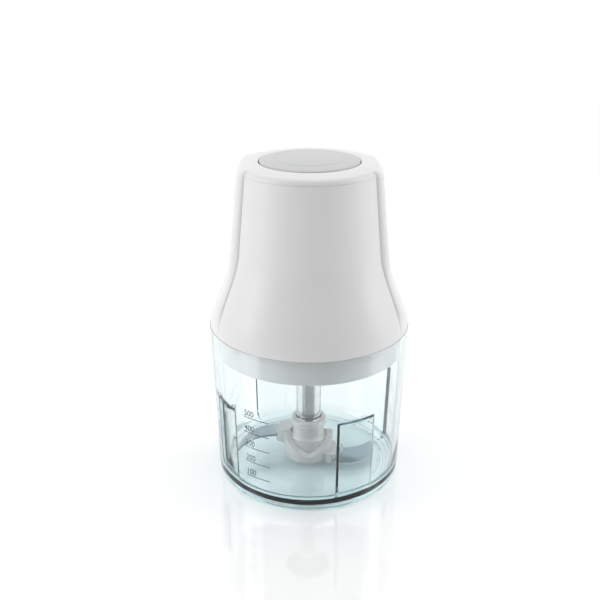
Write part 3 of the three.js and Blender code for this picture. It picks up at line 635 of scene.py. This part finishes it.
def make_cam():
    """A sleeve round the hub whose top edge falls in a V to the front and to the back."""
    bm = bmesh.new()
    inner, outer = COLLAR_RADIUS + 0.6, HUB_RADIUS - 0.3
    notch, peak = HUB_BOTTOM + 5.2, HUB_TOP + 2.4
    sections = []
    for i in range(144):
        angle = 2 * pi * i / 144
        from_notch = abs(((angle + pi / 2) / pi + 0.5) % 1 - 0.5) * 2
        top = mix(notch, peak, eased(from_notch))
        corners = [(inner, HUB_BOTTOM + 1), (outer, HUB_BOTTOM + 1), (outer, top), (inner, top + 0.9)]
        across = rounded(corners, 0.5, closed=True, steps=3)
        sections.append([(r * cos(angle), r * sin(angle), z) for r, z in across])
    bridge(bm, sections, close_stack=True)
    return dress(finish_mesh("hub_cam", bm, "blade_unit"), FROSTED_PAINTED_LIGHT, slot="frosted_plastic")


def turn_point(x, y, z, angle):
    """A point turned about the Z axis by an angle in degrees."""
    c, s = cos(radians(angle)), sin(radians(angle))
    return x * c - y * s, x * s + y * c, z


def make_lug(name, angle, bottom, top):
    """The block that holds a blade's tang."""
    corners = [(12, -8), (18, -9), (21, -6.5), (21, 4.5), (18, 7.5), (12, 8)]
    bm = bmesh.new()
    slab_into(bm, rounded(corners, 1.2, closed=True, steps=4), bottom, top, bevel=0.8, segments=3,
              place=lambda p: Vector(turn_point(*p, angle)))
    return dress(finish_mesh(name, bm, "blade_unit"), FROSTED_PAINTED_LIGHT, slot="frosted_plastic")


def bezier(points, t):
    a, b, c, d = points
    u = 1 - t
    weights = (u ** 3, 3 * u * u * t, 3 * u * t * t, t ** 3)
    return tuple(sum(w * p[k] for w, p in zip(weights, (a, b, c, d))) for k in (0, 1))


def make_blade(name, node, angle):
    """A sickle blade: a straight tang, then a body that curves to its tip, with a ground edge outside."""
    bottom, top = low(node).z, high(node).z
    tip = (BLADE_REACH * cos(radians(BLADE_SWEEP)), BLADE_REACH * sin(radians(BLADE_SWEEP)))
    start = HUB_RADIUS + 2
    edge = [(start, -8.5), (34, -10), (46, 8), tip]
    spine = [(start, TANG_HALF_WIDTH), (28, 10), (36, 18), tip]
    sections = []
    stations = [(BLADE_ROOT, 0), (13, 0)] + [(None, t) for t in spread(0, 0.97, 40)]
    for x, t in stations:
        if x:
            along = (x - BLADE_ROOT) / (start - BLADE_ROOT)
            outer, inner = (x, mix(-TANG_HALF_WIDTH, -8.5, along)), (x, TANG_HALF_WIDTH)
        else:
            outer, inner = bezier(edge, t), bezier(spine, t)
        width = hypot(outer[0] - inner[0], outer[1] - inner[1])
        ground = min(GROUND_WIDTH, 0.6 * width) / width * (0.02 if x else smooth(t / 0.08))
        scallop = 0.25 * (1 - abs(((t * 16) % 1) * 2 - 1)) * smooth(t / 0.1) * smooth((0.9 - t) / 0.1)
        outer = tuple(mix(o, i, scallop / width) for o, i in zip(outer, inner))
        shoulder = tuple(mix(o, i, max(ground, 0.01)) for o, i in zip(outer, inner))
        soft = tuple(mix(i, o, 0.3 / width) for o, i in zip(outer, inner))
        keen = top - 0.1 if x else mix(top - 0.1, bottom + 0.15, smooth(t / 0.08))
        loop = [(*soft, top), (*shoulder, top), (*outer, keen), (*outer, bottom), (*soft, bottom),
                (*inner, bottom + 0.3), (*inner, top - 0.3)]
        sections.append(loop)
    bm = bmesh.new()
    capped(bm, [[turn_point(*p, angle) for p in section] for section in sections])
    return dress(finish_mesh(name, bm, "blade_unit", crease=22), BLADE_STEEL, node, slot="blade_steel")


make_hub()
make_column()
make_cam()
make_lug("lower_lug", LOWER_BLADE_ANGLE, HUB_BOTTOM + 0.4, 13)
make_lug("upper_lug", UPPER_BLADE_ANGLE, 14.2, 22)
make_blade("lower_sickle", "lower_blade", LOWER_BLADE_ANGLE)
make_blade("upper_sickle", "upper_blade", UPPER_BLADE_ANGLE)


# ---------------------------------------------------------------- casing of the motor unit

FLARE_START = 148
FLARE_END = 102
KINK_Z = 134
ROUND_Z = 112
COVER_TOP_RADIUS = 41.9
COVER_TAPER = 0.079
COVER_FLARE = 10.5
BAND_TOP_HALF_WIDTH = 41.3
BAND_TAPER = 0.104
BAND_FLARE = 0.375
BAND_BLEND = 16  # height above the flare's end over which the round rim turns into the band's own outline
CREASE_TOP_DEPTH = 22
CREASE_DEEPENING = 6
CREASE_BEND = 146
CORNER_DEPTH = 8
SIDE_BULGE = 0.8
SOFT_EDGE = 0.3
SHOULDER_TOP = DECK_TOP - 1.0
FRONT_SHOULDER = 3.1
SIDE_SHOULDER = 5.0


def cover_radius(z):
    """Radius of the front and rear covers, a bell that swells to the bowl's rim."""
    flare = COVER_FLARE * smooth((FLARE_START - z) / (FLARE_START - FLARE_END))
    return COVER_TOP_RADIUS + COVER_TAPER * (PROFILE_TOP - z) + flare


def sharp_half_width(z):
    """Half the width across the side bands: straight, then a kink, a straight flare and a round to the rim."""
    kink_width = BAND_TOP_HALF_WIDTH + BAND_TAPER * (PROFILE_TOP - KINK_Z)
    if z >= KINK_Z:
        return BAND_TOP_HALF_WIDTH + BAND_TAPER * (PROFILE_TOP - z)
    if z >= ROUND_Z:
        return kink_width + BAND_FLARE * (KINK_Z - z)
    round_width = kink_width + BAND_FLARE * (KINK_Z - ROUND_Z)
    t = min(1, (ROUND_Z - z) / (ROUND_Z - SHELL_BOTTOM))
    return round_width + (RIM_RADIUS - 0.3 - round_width) * (1 - (1 - t) ** 2)


def band_half_width(z):
    """The same with its kink eased over a few millimetres."""
    reach = min(5.0, z - SHELL_BOTTOM)
    return sum(sharp_half_width(z + reach * k / 6) for k in range(-6, 7)) / 13


def crease_depth(z):
    """How far the creases between the covers and the bands lie in front of the middle, or behind it."""
    return CREASE_TOP_DEPTH + CREASE_DEEPENING * smooth((CREASE_BEND - z) / (CREASE_BEND - FLARE_END))


def crease_angle(z):
    return acos(crease_depth(z) / cover_radius(z))


def inset(point, distance):
    scale = 1 - distance / hypot(*point)
    return point[0] * scale, point[1] * scale


def shoulder(z, radius):
    """How far the outside has drawn in at a height on the rounded shoulder."""
    up = max(0.0, z - (SHOULDER_TOP - radius))
    return radius - sqrt(max(0.0, radius ** 2 - up ** 2))


def cover_point(t, z):
    angle = crease_angle(z) * t
    radius = cover_radius(z) - shoulder(z, FRONT_SHOULDER)
    return radius * sin(angle), -radius * cos(angle)


def band_point(t, z):
    """A point of the band's outline: t is 0 at the front crease, 1 at the side and 2 at the rear crease."""
    if t > 1:
        x, y = band_point(2 - t, z)
        return x, -y
    radius, half_width, depth = cover_radius(z), band_half_width(z), crease_depth(z)
    flat_depth = depth - CORNER_DEPTH
    crease_x = radius * sin(crease_angle(z))
    if t < 0.5:
        turn = pi * t
        slab = (mix(crease_x, half_width - SIDE_BULGE, sin(turn)), -flat_depth - CORNER_DEPTH * cos(turn))
    else:
        flat_y = flat_depth * (2 - 2 * t)
        slab = (half_width - SIDE_BULGE * (flat_y / flat_depth) ** 2, -flat_y)
    angle = mix(crease_angle(z), pi / 2, t)
    round_radius = mix(radius, half_width, smooth(t))
    ring = (round_radius * sin(angle), -round_radius * cos(angle))
    slab_share = smooth((z - FLARE_END) / BAND_BLEND)
    point = tuple(mix(r, s, slab_share) for r, s in zip(ring, slab))
    return inset(point, shoulder(z, mix(FRONT_SHOULDER, SIDE_SHOULDER, smooth(t / 0.6))))


def half_turn(point):
    return -point[0], -point[1]


def skin_into(bm, outline, across, heights, wall, is_open=None):
    """A curved wall of even thickness. is_open(t, z) says where it is pierced."""
    def sheet(depth):
        return [[bm.verts.new((*inset(outline(t, z), depth), z)) for t in across] for z in heights]

    outer, inner = sheet(0), sheet(wall)
    columns, rows = len(across) - 1, len(heights) - 1

    def kept(i, j):
        if not (0 <= i < rows and 0 <= j < columns):
            return False
        middle = (across[j] + across[j + 1]) / 2, (heights[i] + heights[i + 1]) / 2
        return not (is_open and is_open(*middle))

    for i in range(rows):
        for j in range(columns):
            if not kept(i, j):
                continue
            corners = [(i, j), (i, j + 1), (i + 1, j + 1), (i + 1, j)]
            bm.faces.new([outer[a][b] for a, b in corners])
            bm.faces.new([inner[a][b] for a, b in corners[::-1]])
            for k, (di, dj) in enumerate(((-1, 0), (0, 1), (1, 0), (0, -1))):
                if not kept(i + di, j + dj):
                    (a, b), (c, d) = corners[k], corners[(k + 1) % 4]
                    bm.faces.new((outer[c][d], outer[a][b], inner[a][b], inner[c][d]))
    bmesh.ops.delete(bm, geom=[v for v in bm.verts if not v.link_faces], context="VERTS")


def soften(bm, width, above, below, angle=55, segments=2):
    """Bevels the sharp edges that lie between two heights."""
    bmesh.ops.recalc_face_normals(bm, faces=bm.faces)
    sharp = [e for e in bm.edges if len(e.link_faces) == 2 and e.calc_face_angle() > radians(angle)
             and above < min(v.co.z for v in e.verts) and max(v.co.z for v in e.verts) < below]
    bmesh.ops.bevel(bm, geom=sharp, offset=width, segments=segments, affect="EDGES", profile=0.5,
                    clamp_overlap=True)


def shell_heights(top):
    """Heights at which the casing is sampled, from just above the bowl's rim."""
    flare = spread(SHELL_BOTTOM + 0.3, 118, 13) + spread(119.5, 150, 21)
    return [BOWL_HEIGHT + RIM_GAP, *flare, *spread(154, top - 4, 9), top - 2, top - 1, top]


SEAM = 0.1  # hairline between a cover and the deck above it
RIM_GAP = 0.03  # between the casing and the bowl's rim


def make_front_cover():
    bm = bmesh.new()
    skin_into(bm, cover_point, spread(-1, 1, 49), shell_heights(DECK_BOTTOM - SEAM), SHELL_WALL)
    soften(bm, SOFT_EDGE, BOWL_HEIGHT + 0.5, DECK_BOTTOM - 1)
    return dress(finish_mesh("front_shield", bm, "motor_unit", crease=60), WHITE, "front_cover",
                 slot="white_plastic")


VENT_COUNT = 5
VENT_PITCH = 6
VENT_WIDTH = 2.2
VENT_Z = (162.5, 179.5)
CORD_HOLE_RADIUS = 5.4


def rear_grid():
    """Sampling of the rear cover, with lines at its vents' edges and close lines round the cord's hole."""
    radius = cover_radius(sum(VENT_Z) / 2)
    edge = degrees(crease_angle(VENT_Z[0]))
    across = set(spread(-1, 1, 41))
    for i in range(VENT_COUNT):
        for side in (-1, 1):
            x = (i - (VENT_COUNT - 1) / 2) * VENT_PITCH + side * VENT_WIDTH / 2
            across.add(round(degrees(x / radius) / edge, 6))
    across |= set(spread(-0.12, 0.12, 17))
    heights = set(shell_heights(DECK_BOTTOM - SEAM)) | set(VENT_Z)
    heights |= set(spread(GLAND_CENTRE.z - 6, GLAND_CENTRE.z + 6, 17))
    return thinned(across, 0.006), thinned(heights, 0.3)


def thinned(values, gap):
    kept = []
    for v in sorted(values):
        if not kept or v - kept[-1] > gap or v in VENT_Z:
            kept.append(v)
    return kept


def make_rear_cover():
    def outline(t, z):
        return half_turn(cover_point(t, z))

    def is_open(t, z):
        x = outline(t, z)[0]
        if hypot(x - GLAND_CENTRE.x, z - GLAND_CENTRE.z) < CORD_HOLE_RADIUS:
            return True
        slot = round(x / VENT_PITCH)
        return (VENT_Z[0] < z < VENT_Z[1] and abs(slot) <= VENT_COUNT // 2
                and abs(x - slot * VENT_PITCH) < VENT_WIDTH / 2)

    bm = bmesh.new()
    across, heights = rear_grid()
    skin_into(bm, outline, across, heights, SHELL_WALL, is_open)
    return dress(finish_mesh("rear_shield", bm, "motor_unit", crease=60), WHITE, "rear_cover",
                 slot="white_plastic")


def motor_outline(z, extra=0.0):
    """The whole outline of the motor unit at a height, once round from the front's left crease."""
    points = []
    for turned in (lambda p: p, half_turn):
        points += [turned(inset(cover_point(t, z), extra)) for t in spread(-1, 1, 41)[:-1]]
        points += [turned(inset(band_point(t, z), extra)) for t in spread(0, 2, 49)[:-1]]
    return points


def make_housing_band():
    """Two side walls and the deck over them, with the opening for the button."""
    bm = bmesh.new()
    heights = shell_heights(DECK_BOTTOM)
    for turned in (lambda p: p, half_turn):
        skin_into(bm, lambda t, z: turned(band_point(t, z)), spread(0, 2, 61), heights, SHELL_WALL)
    soften(bm, SOFT_EDGE, BOWL_HEIGHT + 0.5, DECK_BOTTOM - 1)
    rings = [[(*p, DECK_BOTTOM) for p in motor_outline(DECK_BOTTOM, SHELL_WALL)]]
    for z in (DECK_BOTTOM, 193.9, 194.6, 195.2, 195.6, 195.9, 196.1, 196.24, SHOULDER_TOP - 0.005):
        rings.append([(*p, z) for p in motor_outline(z)])
    edge = motor_outline(SHOULDER_TOP - 0.005)
    for t in (0.12, 0.3, 0.5, 0.7, 0.88, 0.96, 1):
        z = SHOULDER_TOP + (DECK_TOP - SHOULDER_TOP) * sin(t * pi / 2)
        reach = [mix(hypot(*p), BUTTON_OPENING + 0.5, t) / hypot(*p) for p in edge]
        rings.append([(p[0] * k, p[1] * k, z) for p, k in zip(edge, reach)])
    for radius, z in ((BUTTON_OPENING + 0.15, DECK_TOP - 0.15), (BUTTON_OPENING, DECK_TOP - 0.5),
                      (BUTTON_OPENING, 195), (BUTTON_OPENING + 3, 194.6)):
        rings.append([(p[0] * radius / hypot(*p), p[1] * radius / hypot(*p), z) for p in edge])
    bridge(bm, rings, close_stack=True)
    return dress(finish_mesh("housing_arch", bm, "motor_unit", crease=60, weld=2e-3), WHITE, "housing_band",
                 slot="white_plastic")


def make_button():
    """A domed cap with a shallow groove, a flange that holds it in, and a stem down to the switch lever."""
    radius, inside = BUTTON_OPENING - 0.6, 196
    flange_bottom, flange_top = 192.2, 193.6
    stem_radius, stem_bottom = 2.6, 182.5
    dome_radius, dome_drop, groove_depth = 27.2, 1.9, 0.25
    dome = [(r, BUTTON_TOP - dome_drop * (r / dome_radius) ** 2 - (groove_depth if 20.1 < r < 20.9 else 0))
            for r in (dome_radius, 24, 21, 20.6, 20.2, 19.8, 15, 10, 5)]
    stem = [(AXIS, inside), (stem_radius, inside), (stem_radius, stem_bottom), (0.8, stem_bottom),
            (AXIS, stem_bottom)]
    cap = [(AXIS, inside), (radius - 2, inside), (radius - 2, flange_bottom), (radius + 2, flange_bottom),
           (radius + 2, flange_top), (radius, flange_top), (radius, BUTTON_TOP - 2.6),
           (radius - 0.5, BUTTON_TOP - 2.2), *dome, (AXIS, BUTTON_TOP)]
    bm = bmesh.new()
    lathe_into(bm, rounded(cap, 0.35), 128)
    lathe_into(bm, rounded(stem, 0.3), 32)
    return dress(finish_mesh("press_cap", bm, "button"), PALE_GREY, "push_button", slot="grey_plastic")


def make_spring():
    """The coil under the cap."""
    wire, turns, closed_end, steps = 0.55, 5.5, 0.5, 240
    bottom, top = low("button_spring").z + wire, high("button_spring").z - wire
    coil = high("button_spring").x - wire
    rings = []
    for step in range(steps + 1):
        turn = turns * step / steps
        angle = 2 * pi * turn
        z = mix(bottom, top, clamp((turn - closed_end) / (turns - 2 * closed_end)))
        rings.append([((coil + r) * cos(angle), (coil + r) * sin(angle), z + h) for r, h in circle(wire, 10)])
    bm = bmesh.new()
    capped(bm, rings)
    piece = dress(finish_mesh("button_coil", bm, "motor_unit"), PIN_STEEL, "button_spring", slot="pin_steel")
    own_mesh(piece)
    return piece


def centre_of(node):
    """The x and y of the middle of a node's box."""
    return (low(node).x + high(node).x) / 2, (low(node).y + high(node).y) / 2


def cross_radius(reach, arm):
    """Radius of a cross-shaped recess as a function of the angle."""
    def at(angle):
        a = abs((angle + pi / 4) % (pi / 2) - pi / 4)
        return min(reach / max(cos(a), 0.3), arm / max(sin(a), 0.12))
    return at


def make_screw(node):
    """A countersunk screw, head down, with a cross recess."""
    head, top = low(node).z, high(node).z
    x, y = centre_of(node)
    cross = cross_radius(2.1, 0.45)
    rings = [ring_from(lambda a: AXIS, head + 1.1, 32)]
    rings += [ring_from(lambda a, k=k: k * cross(a), z, 32) for k, z in ((0.5, head + 1.0), (1, head + 0.1))]
    shank = [(3.0, head), (3.2, head + 0.3), (3.2, head + 1.0), (1.6, head + 1.6), (1.6, top - 2), (AXIS, top)]
    rings += [ring_from(lambda a, r=r: r, z, 32) for r, z in shank]
    bm = bmesh.new()
    bridge(bm, [[(px + x, py + y, pz) for px, py, pz in ring] for ring in rings])
    return dress(finish_mesh(f"{node}_turned", bm, "motor_unit"), PIN_STEEL, node, slot="pin_steel")


SCREWS = [f"base_screw_{i}" for i in range(1, 5)]


def pierced(piece, holes):
    """Cuts round holes, each (x, y, radius, bottom, top) in millimetres, through a piece."""
    for x, y, radius, bottom, top in holes:
        bm = bmesh.new()
        slab_into(bm, circle(radius, 32, (x, y)), bottom, top)
        bmesh.ops.scale(bm, vec=(MM, MM, MM), verts=bm.verts)
        mesh = bpy.data.meshes.new("tool")
        bm.to_mesh(mesh)
        bm.free()
        tool = bpy.data.objects.new("tool", mesh)
        bpy.context.scene.collection.objects.link(tool)
        cut = piece.modifiers.new("hole", "BOOLEAN")
        cut.object = tool
        cut.solver = "EXACT"
        result = bpy.data.meshes.new_from_object(piece.evaluated_get(bpy.context.evaluated_depsgraph_get()))
        piece.modifiers.remove(cut)
        piece.data = result
        bpy.data.objects.remove(tool)
    return piece


def make_base_plate():
    """The plate under the motor unit, with the skirt that drops into the bowl."""
    hole, tube, tube_top = 14.4, 33, 98.7
    recess, inside = SKIRT_BOTTOM + 0.6, SKIRT_RADIUS - 2.4
    profile = [
        (hole, SKIRT_BOTTOM), (17, SKIRT_BOTTOM), (17.5, recess), (36, recess), (36.5, SKIRT_BOTTOM),
        (SKIRT_RADIUS, SKIRT_BOTTOM), (SKIRT_RADIUS, SKIRT_TOP), (inside, SKIRT_TOP), (inside, PLATE_TOP),
        (tube, PLATE_TOP), (tube, tube_top), (tube - 2.5, tube_top), (tube - 2.5, PLATE_TOP), (hole, PLATE_TOP),
    ]
    piece = lathe("skirt_plate", profile, "motor_unit", 0.7, 160, closed=True)
    holes = []
    for node in SCREWS:
        x, y = centre_of(node)
        holes += [(x, y, 2, SKIRT_BOTTOM - 1, PLATE_TOP + 1), (x, y, 3.7, SKIRT_BOTTOM - 1, SKIRT_BOTTOM + 2)]
    piece = pierced(piece, holes)
    for polygon in piece.data.polygons:
        polygon.use_smooth = True
    piece.data.set_sharp_from_angle(angle=radians(35))
    return dress(piece, SKIRT_PAINTED_LIGHT, "base_plate", slot="grey_plastic")


def make_coupling():
    """The socket that drives the blade unit: round outside, hexagonal inside."""
    bottom, top, radius = low("output_coupling").z, high("output_coupling").z, high("output_coupling").x
    socket = hexagon_radius(DRIVE_HEX_RADIUS + 0.6, 0.97)
    socket_top, shoulder_z, shaft_bore, bore_bottom = DRIVE_TOP + 0.6, 92, 4.3, 90.2
    rings = [ring_from(lambda a: AXIS, socket_top)]
    rings += [ring_from(lambda a, k=k: k * socket(a), z)
              for k, z in ((1, socket_top), (1, bottom + 1.2), (1.12, bottom + 0.2))]
    outside = [(8.4, bottom), (radius, bottom), (radius, shoulder_z), (8, top), (shaft_bore, top)]
    rings += [ring_from(lambda a, r=r: r, z) for r, z in rounded(outside, 0.8)]
    rings += [ring_from(lambda a: shaft_bore, bore_bottom), ring_from(lambda a: AXIS, bore_bottom)]
    bm = bmesh.new()
    bridge(bm, rings)
    return dress(finish_mesh("drive_socket", bm, "drive", weld=2e-3), BLACK, "output_coupling",
                 slot="black_plastic")


def make_seal():
    """A ring with a lip round the coupling."""
    outer, bottom, top = high("shaft_seal").x, low("shaft_seal").z, high("shaft_seal").z
    lip = 12.3
    profile = [(lip, bottom + 0.8), (lip + 0.9, bottom), (outer, bottom), (outer, top), (lip, top),
               (lip + 0.5, bottom + 1.6)]
    return dress(lathe("lip_seal", profile, "motor_unit", 0.3, 96, closed=True), RUBBER, "shaft_seal",
                 slot="rubber")


def make_gland():
    """A rubber gland with a ribbed collar, pressed into the rear cover."""
    start, end = low("cord_gland").y, high("cord_gland").y
    flange, neck, hole = high("cord_gland").x, 5, 3.6
    profile = [(hole, start), (flange, start), (flange, start + 2.4), (neck, start + 2.4), (neck, end - 2.2),
               (flange, end - 2.2), (flange - 0.4, end - 0.6), (neck + 0.4, end), (hole + 0.3, end)]
    bm = bmesh.new()
    rings = [
        [(GLAND_CENTRE.x + r * cos(a), y, GLAND_CENTRE.z + r * sin(a)) for a in spread(0, 2 * pi, 65)[:-1]]
        for r, y in rounded(profile, 0.5, closed=True)
    ]
    bridge(bm, rings, close_stack=True)
    return dress(finish_mesh("cord_grommet", bm, "motor_unit"), RUBBER, "cord_gland", slot="rubber")


make_front_cover()
make_rear_cover()
make_housing_band()
make_button()
make_spring()
make_base_plate()
make_coupling()
make_seal()
make_gland()
for node in SCREWS:
    make_screw(node)


# ---------------------------------------------------------------- CAD nodes that keep their shape

CARRIED = {
    PIN_STEEL: ["switch_lever", "planet_carrier", "armature_shaft", "motor_pinion", "lower_bracket",
                "upper_bracket"],
    BRONZE: ["hub_bush", "output_bush", "lower_bearing", "upper_bearing", "brush_holder_left",
             "brush_holder_right"],
    COPPER: ["armature_winding_lower", "armature_winding_upper", "commutator", "field_coil_left",
             "field_coil_right"],
    LAMINATION: ["armature_core", "stator_core"],
    NYLON: ["ring_gear", "planet_gear_1", "planet_gear_2", "planet_gear_3"],
    INNER_GREY: ["switch_plate", "gearbox_housing", "gearbox_cover", "terminal_block"],
    BLACK: ["switch_body", "cooling_fan", "suppression_capacitor"],
    CARBON: ["carbon_brush_left", "carbon_brush_right"],
    BOARD: ["circuit_board"],
}
for material, names in CARRIED.items():
    for name in names:
        nodes[name].data.materials.clear()
        nodes[name].data.materials.append(material)


# ---------------------------------------------------------------- floor, light and camera

FLOOR_REACH = 12000
STUDIO_DIM = 0.23  # strength of the studio's light from the front
STUDIO_BRIGHT = 1.05  # and from the sides and behind
CAMERA_PLACE = (-5.5, -466.9, 303.7)
CAMERA_PITCH = 22.3
CAMERA_LENS = 50.2


def make_floor():
    bm = bmesh.new()
    bmesh.ops.create_grid(bm, x_segments=8, y_segments=8, size=FLOOR_REACH)
    bmesh.ops.scale(bm, vec=(MM, MM, MM), verts=bm.verts)
    mesh = bpy.data.meshes.new("floor")
    bm.to_mesh(mesh)
    bm.free()
    floor = bpy.data.objects.new("floor", mesh)
    bpy.context.scene.collection.objects.link(floor)
    m = Nodes("floor")
    where = m.object_coordinates()
    m.tint(m.noise(where, 3, 2), (0.93, 0.93, 0.935), (0.95, 0.95, 0.95))
    m.set(Roughness=0.03, IOR=2.3, Emission_Color=(1, 1, 1, 1), Emission_Strength=0.10)
    mesh.materials.append(m.material)


def make_world():
    """A pale studio: bright above and behind, dim in front where the camera stands."""
    world = bpy.data.worlds.new("studio")
    bpy.context.scene.world = world
    world.use_nodes = True
    tree = world.node_tree
    background = tree.nodes["Background"]
    coordinates = tree.nodes.new("ShaderNodeTexCoord")
    parts = tree.nodes.new("ShaderNodeSeparateXYZ")
    tree.links.new(coordinates.outputs["Generated"], parts.inputs["Vector"])
    front = tree.nodes.new("ShaderNodeMapRange")
    front.interpolation_type = "SMOOTHSTEP"
    front.inputs["From Min"].default_value = -0.85
    front.inputs["From Max"].default_value = 0.22
    front.inputs["To Min"].default_value = STUDIO_DIM
    front.inputs["To Max"].default_value = STUDIO_BRIGHT
    tree.links.new(parts.outputs["Y"], front.inputs["Value"])
    tree.links.new(front.outputs["Result"], background.inputs["Strength"])
    background.inputs["Color"].default_value = (1.0, 1.0, 1.0, 1)


def make_light(name, place, aim, size, power):
    light = bpy.data.lights.new(name, "AREA")
    light.shape = "RECTANGLE"
    light.size, light.size_y = size[0], size[1]
    light.energy = power
    lamp = bpy.data.objects.new(name, light)
    lamp.location = place
    lamp.rotation_euler = (Vector(aim) - Vector(place)).to_track_quat("-Z", "Y").to_euler()
    bpy.context.scene.collection.objects.link(lamp)


def make_camera():
    camera = bpy.data.cameras.new("camera")
    camera.lens = CAMERA_LENS
    camera.sensor_width = 36
    camera.clip_end = 100
    rig = bpy.data.objects.new("camera", camera)
    rig.location = Vector(CAMERA_PLACE) * MM
    rig.rotation_euler = (radians(90 - CAMERA_PITCH), 0, 0)
    bpy.context.scene.collection.objects.link(rig)
    bpy.context.scene.camera = rig


make_floor()
make_world()
make_light("left_softbox", (-0.75, -0.25, 0.45), (0, 0, 0.12), (0.35, 0.8), 2.6)
make_light("right_softbox", (0.8, -0.05, 0.45), (0, 0, 0.12), (0.35, 0.8), 2.2)
make_light("top_softbox", (0, 0.1, 1.3), (0, 0, 0.1), (1.2, 1.0), 0.6)
make_camera()
bpy.context.scene.view_settings.view_transform = "Standard"
